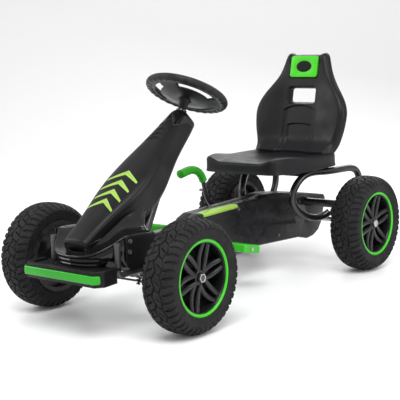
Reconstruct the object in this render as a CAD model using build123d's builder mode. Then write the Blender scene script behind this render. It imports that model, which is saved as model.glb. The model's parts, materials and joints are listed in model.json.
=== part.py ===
from build123d import *
import os
from math import atan2, cos, degrees, hypot, pi, radians, sin

os.makedirs("parts", exist_ok=True)

# Pedal go kart for one child. Millimetres, +Z up, the kart drives towards -Y and
# its left side is +X. The origin is on the ground, below the middle of the kart.

# ---- Driving dimensions ----
WHEEL_R = 145.0
TYRE_W = 98.0
TYRE_X = 255.5
FRONT_Y = -392.5
REAR_Y = 456.5
AXLE_Z = WHEEL_R
AXLE_R = 8.0
RUNNING = 0.05

RIM_R = 98.0
RING_R = 86.0
RING_DEPTH = 9.0
RING_RECESS = 6.0
SPOKE_PAIRS = 6
HUB_R = 21.0

KINGPIN_X = 180.0
KINGPIN_R = 6.0
KNUCKLE_ARM = 45.0
TIE_Z = 94.0

COLUMN_TOP = (0.0, -79.0, 572.0)
COLUMN_TILT = radians(29.0)
COLUMN_R = 11.0
HEAD_TUBE_R = 16.0
HEAD_TUBE_LOW = -505.0
HEAD_TUBE_HIGH = -110.0
PITMAN_LOW = -528.0
PITMAN_ARM = 40.0
WHEEL_RIM_R = 106.0
WHEEL_GRIP_R = 12.3

BEAM_X = -16.0
BEAM_W = 28.0
BEAM_H = 45.0
BEAM_Z = 180.0
BEAM_REAR_Y = 452.0
AXLE_BEAM_R = 15.0
AXLE_BEAM_HALF = 163.0
CROSS_TUBE_R = 12.5
CROSS_TUBE_Z = 194.0
PLATE_X = 160.0
PLATE_T = 5.0

CRANK_Y = -42.0
CRANK_Z = 156.0
CRANK_R = 74.0
CRANK_ANGLE = -24.0
PEDAL_X = (52.0, 137.0)
PEDAL_W = 75.0
PEDAL_T = 24.0
PEDAL_TILT = -12.0

PITCH = 12.7
FRONT_TEETH = 28
REAR_TEETH = 14
CHAIN_X = 14.0
CHAIN_HALF = 5.0

CASE_HALF = 36.0
CASE_WALL = 3.0

SEAT_TUBE_R = 11.0
RAIL_X = 60.0
SEAT_PAN_Z = 350.0

BRAKE_X = -76.0
BRAKE_Y = 150.0
BRAKE_Z = 205.0
DRUM_R = 28.0
DRUM_X = -100.0

NOSE = (0.0, -546.0, 234.0)
NOSE_SLOPE = radians(34.6)
PANEL_WALL = 3.0

# ---- Derived places ----
COLUMN_AXIS = (0.0, sin(COLUMN_TILT), cos(COLUMN_TILT))
COLUMN = Plane(origin=COLUMN_TOP, x_dir=(1, 0, 0), z_dir=COLUMN_AXIS)
FRONT_PITCH_R = PITCH / (2 * sin(pi / FRONT_TEETH))
REAR_PITCH_R = PITCH / (2 * sin(pi / REAR_TEETH))


def write(part, name):
    """Labels one finished piece and writes its STEP file."""
    part.label = name
    export_step(part, f"parts/{name}.step")


def along_x(x, y=0.0, z=0.0):
    """A sketch plane that faces +X; its local x is the kart's +Y and its local y is +Z."""
    return Plane(origin=(x, y, z), x_dir=(0, 1, 0), z_dir=(1, 0, 0))


def on_column(height):
    """A sketch plane across the steering column, at a height along it."""
    return COLUMN.offset(height)


def mirrored(part):
    """The same piece for the other side of the kart."""
    return mirror(part, about=Plane.YZ)


# ---- Wheels: built about the X axis at the origin, outer face towards +X ----
HALF_W = TYRE_W / 2
TREAD_EDGE = 0.78 * HALF_W
SIDE_R = 0.85 * WHEEL_R
GROOVES = 24
GROOVE_DEPTH = 5.0

with BuildPart() as tyre:
    with BuildSketch(Plane.XY):
        with BuildLine():
            Line((-HALF_W, RIM_R), (-HALF_W, SIDE_R))
            Spline(
                (-HALF_W, SIDE_R),
                (-TREAD_EDGE, 0.965 * WHEEL_R),
                (0, WHEEL_R),
                (TREAD_EDGE, 0.965 * WHEEL_R),
                (HALF_W, SIDE_R),
            )
            Line((HALF_W, SIDE_R), (HALF_W, RIM_R))
            Line((HALF_W, RIM_R), (-HALF_W, RIM_R))
        make_face()
    revolve(axis=Axis.X)
    for side in (-1, 1):
        for index in range(GROOVES):
            angle = 360 / GROOVES * (index + (0.5 if side > 0 else 0))
            plane = Plane.XY.rotated((angle, 0, 0))
            with BuildSketch(plane.offset(WHEEL_R - GROOVE_DEPTH)):
                with Locations(Location((side * HALF_W * 0.72, 0), side * 24)):
                    Rectangle(HALF_W * 0.62, 6)
            extrude(amount=3 * GROOVE_DEPTH, mode=Mode.SUBTRACT)

with BuildPart() as ring:
    with BuildSketch(Plane.XY):
        with Locations((HALF_W - RING_RECESS - RING_DEPTH / 2, (RIM_R + RING_R) / 2)):
            RectangleRounded(RING_DEPTH, RIM_R - RING_R, 3)
    revolve(axis=Axis.X)


def build_rim(bore_r):
    """A two-wall rim: barrel, inner web, hub and pairs of swept spokes."""
    barrel_out = HALF_W - RING_RECESS - RING_DEPTH
    barrel_in = RIM_R - 6
    with BuildPart() as rim:
        with BuildSketch(Plane.XY):
            Polygon(
                (-HALF_W, RIM_R),
                (barrel_out, RIM_R),
                (barrel_out, barrel_in),
                (-HALF_W + 8, barrel_in),
                (-HALF_W + 8, barrel_in - 6),
                (-HALF_W, barrel_in - 6),
                align=None,
            )
        revolve(axis=Axis.X)
        with BuildSketch(along_x(-HALF_W + 22)):
            Circle(barrel_in + 1)
            Circle(HUB_R - 1, mode=Mode.SUBTRACT)
        extrude(amount=5)
        with BuildSketch(along_x(-HALF_W + 6)):
            Circle(HUB_R)
        extrude(amount=TYRE_W - 24)
        for index in range(SPOKE_PAIRS):
            for lean in (-9, 9):
                turn = 360 / SPOKE_PAIRS * index + lean
                start = (HUB_R * 0.8 * cos(radians(turn)), HUB_R * 0.8 * sin(radians(turn)))
                tip = turn + lean * 0.2 + 10
                end = (
                    (barrel_in + 1) * cos(radians(tip)),
                    (barrel_in + 1) * sin(radians(tip)),
                )
                middle = (
                    56 * cos(radians(turn + 1)),
                    56 * sin(radians(turn + 1)),
                )
                with BuildSketch(along_x(HALF_W - 34)):
                    with BuildLine():
                        bend = ThreePointArc(start, middle, end)
                    trace(bend, line_width=8)
                extrude(amount=12)
        with BuildSketch(along_x(-HALF_W)):
            Circle(bore_r)
        extrude(amount=TYRE_W, mode=Mode.SUBTRACT)
    return rim.part


front_rim = build_rim(AXLE_R + RUNNING)
rear_rim = build_rim(AXLE_R)

WHEELS = {
    "front_left": (1, FRONT_Y, front_rim),
    "front_right": (-1, FRONT_Y, front_rim),
    "rear_left": (1, REAR_Y, rear_rim),
    "rear_right": (-1, REAR_Y, rear_rim),
}
for corner, (side, axle_y, rim_part) in WHEELS.items():
    for kind, piece in (("tyre", tyre.part), ("rim", rim_part), ("ring", ring.part)):
        facing = piece if side > 0 else mirrored(piece)
        write(Pos(side * TYRE_X, axle_y, AXLE_Z) * facing, f"{kind}_{corner}")

# ---- Main frame: one welded piece ----
EAR_T = 6.5
EAR_GAP = 45.0
EAR_R = 14.0
SHELL_R = 17.0
SHELL_BORE = 13.0
SHELL_X = (-32.0, 6.0)

with BuildPart() as main_frame:
    # Backbone: a rectangular tube beside the chain line.
    backbone_plane = Plane(origin=(BEAM_X, -290, BEAM_Z), x_dir=(1, 0, 0), z_dir=(0, 1, 0))
    with BuildSketch(backbone_plane):
        RectangleRounded(BEAM_W, BEAM_H, 5)
    extrude(amount=BEAM_REAR_Y + 290)
    # Front stem from the head tube to the axle beam.
    with BuildSketch(Plane.XY.offset(137)):
        with Locations((0, -355)):
            Rectangle(40, 75)
    extrude(amount=23)
    with BuildSketch(along_x(-AXLE_BEAM_HALF, FRONT_Y, AXLE_Z)):
        Circle(AXLE_BEAM_R)
    extrude(amount=2 * AXLE_BEAM_HALF)
    with BuildSketch(on_column(HEAD_TUBE_LOW)):
        Circle(HEAD_TUBE_R)
    extrude(amount=HEAD_TUBE_HIGH - HEAD_TUBE_LOW)
    with BuildSketch(along_x(-PLATE_X, REAR_Y, CROSS_TUBE_Z)):
        Circle(CROSS_TUBE_R)
    extrude(amount=2 * PLATE_X)
    with BuildSketch(along_x(SHELL_X[0], CRANK_Y, CRANK_Z)):
        Circle(SHELL_R)
    extrude(amount=SHELL_X[1] - SHELL_X[0])
    # Kingpin clevises at both ends of the axle beam.
    for side in (-1, 1):
        with BuildSketch(Plane.XY.offset(AXLE_Z - EAR_GAP / 2 - EAR_T)):
            with Locations((side * (AXLE_BEAM_HALF + 1), FRONT_Y)):
                Rectangle(6, 20)
        extrude(amount=EAR_GAP + 2 * EAR_T)
        for low in (AXLE_Z - EAR_GAP / 2 - EAR_T, AXLE_Z + EAR_GAP / 2):
            with BuildSketch(Plane.XY.offset(low)):
                with Locations((side * KINGPIN_X, FRONT_Y)):
                    Circle(EAR_R)
                with Locations((side * (KINGPIN_X + AXLE_BEAM_HALF) / 2, FRONT_Y)):
                    Rectangle(KINGPIN_X - AXLE_BEAM_HALF, 20)
                with Locations((side * KINGPIN_X, FRONT_Y)):
                    Circle(KINGPIN_R, mode=Mode.SUBTRACT)
            extrude(amount=EAR_T)
    with BuildSketch(on_column(HEAD_TUBE_LOW - 60)):
        Circle(HEAD_TUBE_R - 2)
    extrude(amount=HEAD_TUBE_HIGH - HEAD_TUBE_LOW + 120, mode=Mode.SUBTRACT)
    with BuildSketch(along_x(SHELL_X[0] - 1, CRANK_Y, CRANK_Z)):
        Circle(SHELL_BORE)
    extrude(amount=SHELL_X[1] - SHELL_X[0] + 2, mode=Mode.SUBTRACT)
    # The backbone and the tubes are hollow.
    with BuildSketch(backbone_plane.offset(330)):
        RectangleRounded(BEAM_W - 5, BEAM_H - 5, 3)
    extrude(amount=BEAM_REAR_Y - 60, mode=Mode.SUBTRACT)
write(main_frame.part, "main_frame")

# ---- Kingpins ----
with BuildPart() as kingpins:
    for side in (-1, 1):
        with BuildSketch(Plane.XY.offset(AXLE_Z - EAR_GAP / 2 - EAR_T - 5)):
            with Locations((side * KINGPIN_X, FRONT_Y)):
                Circle(KINGPIN_R)
        extrude(amount=EAR_GAP + 2 * EAR_T + 5)
        with BuildSketch(Plane.XY.offset(AXLE_Z + EAR_GAP / 2 + EAR_T)):
            with Locations((side * KINGPIN_X, FRONT_Y)):
                RegularPolygon(10, 6)
        extrude(amount=6)
write(kingpins.part, "kingpins")

# ---- Knuckle: built for the left side ----
TUBE_CLEAR = 0.5
KNUCKLE_TUBE_R = 12.0
ARM_EYE_Z = 100.0
ARM_T = 6.0
TIE_PIN_R = 3.0

with BuildPart() as knuckle:
    with BuildSketch(Plane.XY.offset(AXLE_Z - EAR_GAP / 2 + TUBE_CLEAR)):
        with Locations((KINGPIN_X, FRONT_Y)):
            Circle(KNUCKLE_TUBE_R)
    extrude(amount=EAR_GAP - 2 * TUBE_CLEAR)
    with BuildSketch(along_x(KINGPIN_X + 6, FRONT_Y, AXLE_Z)):
        Circle(AXLE_R)
    extrude(amount=TYRE_X + HALF_W - 11 - KINGPIN_X - 6)
    with BuildSketch(along_x(KINGPIN_X + 8, FRONT_Y, AXLE_Z)):
        Circle(AXLE_R + 4)
    extrude(amount=TYRE_X - HALF_W + 5 - KINGPIN_X - 8)
    with BuildSketch(along_x(KINGPIN_X - 5, FRONT_Y, 0)):
        Polygon(
            (6, AXLE_Z - 20),
            (6, AXLE_Z - 5),
            (15, AXLE_Z - 9),
            (KNUCKLE_ARM - 6, ARM_EYE_Z + ARM_T),
            (KNUCKLE_ARM, ARM_EYE_Z + ARM_T),
            (KNUCKLE_ARM, ARM_EYE_Z),
            (KNUCKLE_ARM - 9, ARM_EYE_Z),
            (16, AXLE_Z - 20),
            align=None,
        )
    extrude(amount=10)
    with BuildSketch(Plane.XY.offset(ARM_EYE_Z)):
        with Locations((KINGPIN_X, FRONT_Y + KNUCKLE_ARM)):
            Circle(9)
    extrude(amount=ARM_T)
    with BuildSketch(Plane.XY.offset(ARM_EYE_Z - 1)):
        with Locations((KINGPIN_X, FRONT_Y + KNUCKLE_ARM)):
            Circle(TIE_PIN_R + RUNNING)
    extrude(amount=ARM_T + 2, mode=Mode.SUBTRACT)
    with BuildSketch(Plane.XY.offset(AXLE_Z - EAR_GAP / 2)):
        with Locations((KINGPIN_X, FRONT_Y)):
            Circle(KINGPIN_R + RUNNING)
    extrude(amount=EAR_GAP, mode=Mode.SUBTRACT)
write(knuckle.part, "knuckle_left")
write(mirrored(knuckle.part), "knuckle_right")

# ---- Front axle nuts ----
with BuildPart() as axle_nut:
    with BuildSketch(along_x(TYRE_X + HALF_W - 17.5, FRONT_Y, AXLE_Z)):
        RegularPolygon(12, 6)
        Circle(AXLE_R, mode=Mode.SUBTRACT)
    extrude(amount=7)
write(axle_nut.part, "axle_nut_front_left")
write(mirrored(axle_nut.part), "axle_nut_front_right")

# ---- Tie rods: an eye at the pitman bolt, a turned-up pin at the knuckle ----
EYE_BORE = 5.0
EYE_R = 9.0
EYE_T = 6.0
LEFT_EYE = 11.0
RIGHT_EYE = -9.0


def build_tie_rod(side, eye_offset):
    """One tie rod, its inner eye at a height along the pitman bolt."""
    eye_plane = on_column(PITMAN_LOW + eye_offset - EYE_T / 2)
    centre = eye_plane.offset(EYE_T / 2).from_local_coords(Vector(0, PITMAN_ARM, 0))
    outer = Vector(side * KINGPIN_X, FRONT_Y + KNUCKLE_ARM, TIE_Z)
    run = (outer - centre).normalized()
    start = centre + run * (EYE_BORE + 2)
    with BuildPart() as tie_rod:
        with BuildSketch(eye_plane):
            with Locations((0, PITMAN_ARM)):
                Circle(EYE_R)
                Circle(EYE_BORE, mode=Mode.SUBTRACT)
        extrude(amount=EYE_T)
        with BuildSketch(Plane(origin=start, z_dir=run)):
            Circle(TIE_PIN_R)
        extrude(amount=(outer - start).length)
        with Locations(outer):
            Sphere(TIE_PIN_R)
        with BuildSketch(Plane.XY.offset(TIE_Z)):
            with Locations((outer.X, outer.Y)):
                Circle(TIE_PIN_R)
        extrude(amount=ARM_EYE_Z + ARM_T + 5 - TIE_Z)
        with BuildSketch(Plane.XY.offset(ARM_EYE_Z + ARM_T + 0.3)):
            with Locations((outer.X, outer.Y)):
                RegularPolygon(5.5, 6)
        extrude(amount=3.5)
    return tie_rod.part


write(build_tie_rod(1, LEFT_EYE), "tie_rod_left")
write(build_tie_rod(-1, RIGHT_EYE), "tie_rod_right")

# ---- Steering: column, pitman arm, bushes, wheel ----
BUSH_LENGTH = 18.0
PITMAN_T = 5.0
PIN_LOW = -15.0
PIN_HIGH = 18.0
PIN_NUT_T = 4.0

with BuildPart() as steering_column:
    with BuildSketch(on_column(PITMAN_LOW - 8)):
        Circle(COLUMN_R)
    extrude(amount=-PITMAN_LOW + 8 - 12)
write(steering_column.part, "steering_column")

with BuildPart() as pitman_arm:
    with BuildSketch(on_column(PITMAN_LOW - PITMAN_T / 2)):
        Circle(17)
        with Locations((0, PITMAN_ARM)):
            Circle(9)
        make_hull()
        Circle(COLUMN_R, mode=Mode.SUBTRACT)
    extrude(amount=PITMAN_T)
    with BuildSketch(on_column(PITMAN_LOW + PIN_LOW)):
        with Locations((0, PITMAN_ARM)):
            Circle(TIE_PIN_R)
    extrude(amount=PIN_HIGH - PIN_LOW)
    for low in (PIN_LOW - PIN_NUT_T, PIN_HIGH - PIN_NUT_T + 1):
        with BuildSketch(on_column(PITMAN_LOW + low)):
            with Locations((0, PITMAN_ARM)):
                RegularPolygon(6, 6)
        extrude(amount=PIN_NUT_T)
write(pitman_arm.part, "pitman_arm")

with BuildPart() as column_bushes:
    for low, flange in (
        (HEAD_TUBE_LOW, HEAD_TUBE_LOW - 2),
        (HEAD_TUBE_HIGH - BUSH_LENGTH, HEAD_TUBE_HIGH),
    ):
        with BuildSketch(on_column(low)):
            Circle(HEAD_TUBE_R - 2)
            Circle(COLUMN_R + RUNNING, mode=Mode.SUBTRACT)
        extrude(amount=BUSH_LENGTH)
        with BuildSketch(on_column(flange)):
            Circle(HEAD_TUBE_R - 2)
            Circle(COLUMN_R + RUNNING, mode=Mode.SUBTRACT)
        extrude(amount=2)
write(column_bushes.part, "column_bushes")

DISH = 18.0
HUB_PLATE_R = 34.0
with BuildPart() as steering_wheel:
    with BuildSketch(Plane.XZ):
        with Locations((WHEEL_RIM_R, 0)):
            Ellipse(WHEEL_GRIP_R, WHEEL_GRIP_R * 0.95)
    revolve(axis=Axis.Z)
    for turn in (30, 150, 270):
        middle_plane = Plane.XZ.rotated((0, 0, turn))
        with BuildSketch(middle_plane):
            Polygon(
                (HUB_PLATE_R - 8, -DISH - 3),
                (HUB_PLATE_R - 8, -DISH + 6),
                (WHEEL_RIM_R - 4, 4),
                (WHEEL_RIM_R, -4),
                align=None,
            )
        extrude(amount=17, both=True)
    with BuildSketch(Plane.XY.offset(-DISH - 6)):
        Circle(HUB_PLATE_R)
    extrude(amount=14)
    with BuildSketch(Plane.XY.offset(-DISH - 24)):
        Circle(15)
    extrude(amount=20)
    with BuildSketch(Plane.XY.offset(-DISH - 30)):
        Circle(COLUMN_R)
    extrude(amount=-12 + DISH + 30, mode=Mode.SUBTRACT)
write(COLUMN.location * steering_wheel.part, "steering_wheel")

with BuildPart() as wheel_pad:
    with BuildSketch(on_column(-DISH + 8)):
        Circle(HUB_PLATE_R - 2)
    extrude(amount=9, taper=20)
write(wheel_pad.part, "wheel_pad")

# ---- Fairing: a tapering trough that covers the column ----
# Each station is (distance up the front line, front half width, rear half width, depth).
FAIRING_STATIONS = [
    (-4, 30, 28, 16),
    (31, 42, 38, 32),
    (72, 46, 42, 54),
    (134, 57, 50, 84),
    (190, 69, 54, 102),
    (245, 73, 50, 112),
    (300, 66, 44, 111),
    (378, 48, 34, 96),
    (435, 38, 29, 82),
    (490, 31, 27, 72),
    (524, 24, 23, 66),
]
NOSE_DIRECTION = (0.0, cos(NOSE_SLOPE), sin(NOSE_SLOPE))
NOSE_PLANE = Plane(origin=NOSE, x_dir=(1, 0, 0), z_dir=NOSE_DIRECTION)


def fairing_section(station, shrink, extra_depth):
    """One cross-section of the fairing, drawn across its front line."""
    distance, front, rear, depth = station
    front -= shrink
    rear -= shrink
    with BuildSketch(NOSE_PLANE.offset(distance)) as section:
        with BuildLine():
            Line((-rear, depth + extra_depth), (-front, 0.42 * front + shrink))
            Spline(
                (-front, 0.42 * front + shrink),
                (-0.72 * front, 0.1 * front + shrink),
                (0, shrink - 1.5),
                (0.72 * front, 0.1 * front + shrink),
                (front, 0.42 * front + shrink),
            )
            Line((front, 0.42 * front + shrink), (rear, depth + extra_depth))
            Line((rear, depth + extra_depth), (-rear, depth + extra_depth))
        make_face()
    return section.sketch


with BuildPart() as fairing_solid:
    for station in FAIRING_STATIONS:
        add(fairing_section(station, 0, 0))
    loft()

with BuildPart() as fairing:
    add(fairing_solid.part)
    for station in FAIRING_STATIONS[:-1]:
        add(fairing_section(station, PANEL_WALL, 30))
    loft(mode=Mode.SUBTRACT)
    with BuildSketch(on_column(-100)):
        Circle(25)
    extrude(amount=80, mode=Mode.SUBTRACT)
    with BuildSketch(on_column(-560)):
        Circle(HEAD_TUBE_R + 3)
    extrude(amount=470, mode=Mode.SUBTRACT)
write(fairing.part, "fairing")

with BuildPart() as column_surround:
    with BuildSketch(on_column(-76)):
        Circle(25)
        Circle(COLUMN_R + 2.5, mode=Mode.SUBTRACT)
    extrude(amount=10)
write(column_surround.part, "column_surround")

# ---- Lower cowl: a bowed tub with a hump that meets the fairing ----
COWL_X = 124.0
COWL_LOW = 163.0
COWL_TOP = 236.0


def cowl_outline(inset):
    """Plan outline of the tub, stepped in at the front corners for the posts."""
    with BuildSketch(Plane.XY) as outline:
        with BuildLine():
            side = COWL_X - inset
            corner = 100 - inset
            Polyline(
                (corner, -500 + inset),
                (corner + 4, -488 + inset),
                (side, -484 + inset),
                (side, -372 - inset),
                (-side, -372 - inset),
                (-side, -484 + inset),
                (-corner - 4, -488 + inset),
                (-corner, -500 + inset),
            )
            Spline(
                (-corner, -500 + inset),
                (-62, -548 + inset),
                (0, -563 + inset),
                (62, -548 + inset),
                (corner, -500 + inset),
            )
        make_face()
    return outline.sketch


def hump_section(height, half_x, front, rear):
    """One level of the hump between the tub and the fairing."""
    with BuildSketch(Plane.XY.offset(height)) as section:
        with Locations((0, (front + rear) / 2)):
            RectangleRounded(2 * half_x, rear - front, 12)
    return section.sketch


with BuildPart() as lower_cowl:
    with BuildSketch(Plane.XY.offset(COWL_LOW)):
        add(cowl_outline(0))
    extrude(amount=COWL_TOP - COWL_LOW)
    add(hump_section(COWL_TOP - 2, 112, -485, -375))
    add(hump_section(COWL_TOP + 66, 58, -405, -330))
    loft()
    with BuildSketch(Plane.XY.offset(COWL_LOW - 1)):
        add(cowl_outline(PANEL_WALL))
    extrude(amount=COWL_TOP - COWL_LOW - PANEL_WALL + 1, mode=Mode.SUBTRACT)
    add(hump_section(COWL_TOP - 6, 109, -481, -379))
    add(hump_section(COWL_TOP + 62, 54, -401, -334))
    loft(mode=Mode.SUBTRACT)
    add(fairing_solid.part, mode=Mode.SUBTRACT)
write(lower_cowl.part, "lower_cowl")

# ---- Side guards ----
GUARD_T = 4.0
with BuildPart() as side_guards:
    with BuildSketch(along_x(COWL_X)):
        with BuildLine():
            Polyline(
                (-480, 246),
                (-380, 240),
                (-366, 226),
                (-366, 170),
                (-380, 162),
                (-472, 162),
                (-484, 174),
                (-484, 242),
                (-480, 246),
            )
        make_face()
    extrude(amount=GUARD_T)
    mirror(about=Plane.YZ)
write(side_guards.part, "side_guards")

# ---- Bumper ----
POST_X = 113.0
POST_Y = -502.0
POST_R = 8.0
BUMPER_FRONT = -601.5
STRIP_T = 8.0
BUMPER_LOW = 138.0
BUMPER_HIGH = 176.0

with BuildPart() as bumper_posts:
    for side in (-1, 1):
        with BuildLine():
            FilletPolyline(
                (side * POST_X, FRONT_Y, AXLE_Z + 5),
                (side * POST_X, POST_Y, AXLE_Z + 5),
                (side * POST_X, POST_Y, 232),
                radius=14,
            )
        with BuildSketch(Plane.XZ.offset(-FRONT_Y)):
            with Locations((side * POST_X, AXLE_Z + 5)):
                Circle(POST_R)
        sweep()
    with BuildSketch(along_x(-AXLE_BEAM_HALF, FRONT_Y, AXLE_Z)):
        Circle(AXLE_BEAM_R)
    extrude(amount=2 * AXLE_BEAM_HALF, mode=Mode.SUBTRACT)
write(bumper_posts.part, "bumper_posts")

with BuildPart() as bumper_body:
    with BuildSketch(Plane.XY.offset(BUMPER_LOW)):
        with BuildLine():
            Polyline(
                (118, BUMPER_FRONT + STRIP_T),
                (135, -574),
                (130, -524),
                (116, -524),
                (118, -568),
                (108, -580),
                (-108, -580),
                (-118, -568),
                (-116, -524),
                (-130, -524),
                (-135, -574),
                (-118, BUMPER_FRONT + STRIP_T),
                (118, BUMPER_FRONT + STRIP_T),
            )
        make_face()
    extrude(amount=BUMPER_HIGH - BUMPER_LOW)
    with BuildSketch(Plane.XY.offset(BUMPER_HIGH - 10)):
        with Locations((0, -541)):
            Rectangle(244, 82)
        with Locations((0, POST_Y + 23)):
            Rectangle(200, 60, mode=Mode.SUBTRACT)
        with Locations((POST_X, POST_Y), (-POST_X, POST_Y)):
            Circle(POST_R, mode=Mode.SUBTRACT)
    extrude(amount=5)
    add(lower_cowl.part, mode=Mode.SUBTRACT)
write(bumper_body.part, "bumper_body")

with BuildPart() as bumper_strip:
    with BuildSketch(Plane.XY.offset(147)):
        with BuildLine():
            Polyline(
                (118, BUMPER_FRONT + STRIP_T),
                (129, -582),
                (133, -586),
                (120, BUMPER_FRONT),
                (-120, BUMPER_FRONT),
                (-133, -586),
                (-129, -582),
                (-118, BUMPER_FRONT + STRIP_T),
                (118, BUMPER_FRONT + STRIP_T),
            )
        make_face()
    extrude(amount=21)
    add(bumper_body.part, mode=Mode.SUBTRACT)
write(bumper_strip.part, "bumper_strip")

# ---- Chain case ----
CASE_OUTLINE = [
    (-112, 125),
    (-118, 196),
    (-104, 220),
    (-72, 232),
    (207, 239),
    (242, 245),
    (300, 242),
    (396, 231),
    (484, 217),
    (570, 202),
    (577, 190),
    (552, 112),
    (532, 88),
    (505, 75),
    (468, 71),
    (420, 83),
    (181, 95),
    (0, 84),
    (-50, 81),
    (-92, 92),
]
ARROW = [(67, 173), (182, 181), (388, 151), (398, 132), (207, 157)]


def case_outline(inset):
    """Side outline of the case, drawn flat, moved inwards by a distance."""
    with BuildSketch() as outline:
        Polygon(*CASE_OUTLINE, align=None)
        fillet(outline.vertices(), 7)
        if inset:
            offset(amount=-inset, mode=Mode.REPLACE)
    return outline.sketch


def build_case_half(side):
    """One half of the chain case, split on the kart's middle plane."""
    with BuildPart() as half:
        with BuildSketch(along_x(0)):
            add(case_outline(0))
        extrude(amount=side * CASE_HALF)
        outer_face = half.faces().sort_by(Axis.X)[-1 if side > 0 else 0]
        chamfer(outer_face.edges(), 4)
        with BuildSketch(along_x(0)):
            add(case_outline(CASE_WALL))
        extrude(amount=side * (CASE_HALF - CASE_WALL), mode=Mode.SUBTRACT)
        with BuildSketch(along_x(side * (CASE_HALF - 1.5))):
            Polygon(*ARROW, align=None)
        extrude(amount=side * 3, mode=Mode.SUBTRACT)
        with BuildSketch(along_x(0)):
            with Locations((CRANK_Y, CRANK_Z), (REAR_Y, AXLE_Z)):
                Circle(12)
            with Locations((REAR_Y, CROSS_TUBE_Z)):
                Circle(CROSS_TUBE_R)
        extrude(amount=side * (CASE_HALF + 1), mode=Mode.SUBTRACT)
        add(main_frame.part, mode=Mode.SUBTRACT)
    return half.part


write(build_case_half(1), "chain_case_left")
write(build_case_half(-1), "chain_case_right")

# ---- Crank, pedals, chainwheel ----
crank_dy = CRANK_R * cos(radians(CRANK_ANGLE))
crank_dz = CRANK_R * sin(radians(CRANK_ANGLE))
CRANK_ARM_X = (39.0, 49.0)
SPINDLE_R = 6.0

with BuildPart() as crank:
    with BuildSketch(along_x(-CRANK_ARM_X[1], CRANK_Y, CRANK_Z)):
        Circle(AXLE_R)
    extrude(amount=2 * CRANK_ARM_X[1])
    for side in (-1, 1):
        pedal_y = side * crank_dy
        pedal_z = side * crank_dz
        with BuildSketch(along_x(side * CRANK_ARM_X[0], CRANK_Y, CRANK_Z)):
            Circle(14)
            with Locations((pedal_y, pedal_z)):
                Circle(10)
            make_hull()
        extrude(amount=side * (CRANK_ARM_X[1] - CRANK_ARM_X[0]))
        with BuildSketch(along_x(side * (CRANK_ARM_X[1] - 1), CRANK_Y, CRANK_Z)):
            with Locations((pedal_y, pedal_z)):
                Circle(SPINDLE_R)
        extrude(amount=side * (PEDAL_X[1] + 4 - CRANK_ARM_X[1]))
write(crank.part, "crank")

with BuildPart() as pedal:
    with BuildSketch(along_x(PEDAL_X[0])):
        RectangleRounded(PEDAL_W, PEDAL_T, 7)
    extrude(amount=PEDAL_X[1] - PEDAL_X[0])
    chamfer(pedal.faces().filter_by(Axis.X).edges(), 2)
    for height in (PEDAL_T / 2 - 2, -PEDAL_T / 2 - 1):
        with BuildSketch(Plane.XY.offset(height)):
            with Locations(((PEDAL_X[0] + PEDAL_X[1]) / 2, 0)):
                with GridLocations(0, 15, 1, 4):
                    Rectangle(PEDAL_X[1] - PEDAL_X[0] - 14, 5)
        extrude(amount=3, mode=Mode.SUBTRACT)
    with BuildSketch(along_x(PEDAL_X[0] - 1)):
        Circle(SPINDLE_R + RUNNING)
    extrude(amount=PEDAL_X[1] - PEDAL_X[0] + 2, mode=Mode.SUBTRACT)
for side, name in ((1, "pedal_left"), (-1, "pedal_right")):
    facing = pedal.part if side > 0 else mirrored(pedal.part)
    tilted = Rot(PEDAL_TILT, 0, 0) * facing
    write(Pos(0, CRANK_Y + side * crank_dy, CRANK_Z + side * crank_dz) * tilted, name)

with BuildPart() as bottom_bracket_bushes:
    for low, high, flange in (
        (SHELL_X[0], SHELL_X[0] + 12, SHELL_X[0] - 1.5),
        (SHELL_X[1] - 12, SHELL_X[1], SHELL_X[1]),
    ):
        with BuildSketch(along_x(low, CRANK_Y, CRANK_Z)):
            Circle(SHELL_BORE)
            Circle(AXLE_R + RUNNING, mode=Mode.SUBTRACT)
        extrude(amount=high - low)
        flange_r = 15 if flange > 0 else 11.5
        with BuildSketch(along_x(flange, CRANK_Y, CRANK_Z)):
            Circle(flange_r)
            Circle(AXLE_R + RUNNING, mode=Mode.SUBTRACT)
        extrude(amount=1.5)
write(bottom_bracket_bushes.part, "bottom_bracket_bushes")


def build_sprocket(teeth, pitch_r, hub_r, windows, place):
    """A chain sprocket with straight-flanked teeth and a hub on its axle."""
    step = 360 / teeth
    with BuildPart() as sprocket:
        with BuildSketch(along_x(CHAIN_X - 1.5, *place)):
            Circle(pitch_r - 3.5)
            for index in range(teeth):
                with Locations(Rot(0, 0, index * step) * Pos(pitch_r - 1, 0)):
                    Trapezoid(5.6, 6.5, 68, rotation=-90)
            if windows:
                with PolarLocations(pitch_r * 0.55, windows):
                    Circle(pitch_r * 0.19, mode=Mode.SUBTRACT)
        extrude(amount=3)
        with BuildSketch(along_x(CHAIN_X - 5, *place)):
            Circle(hub_r)
        extrude(amount=8)
        with BuildSketch(along_x(CHAIN_X - 6, *place)):
            Circle(AXLE_R)
        extrude(amount=12, mode=Mode.SUBTRACT)
    return sprocket.part


write(build_sprocket(FRONT_TEETH, FRONT_PITCH_R, 14, 5, (CRANK_Y, CRANK_Z)), "chainwheel")
write(build_sprocket(REAR_TEETH, REAR_PITCH_R, 13, 0, (REAR_Y, AXLE_Z)), "rear_sprocket")

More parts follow.
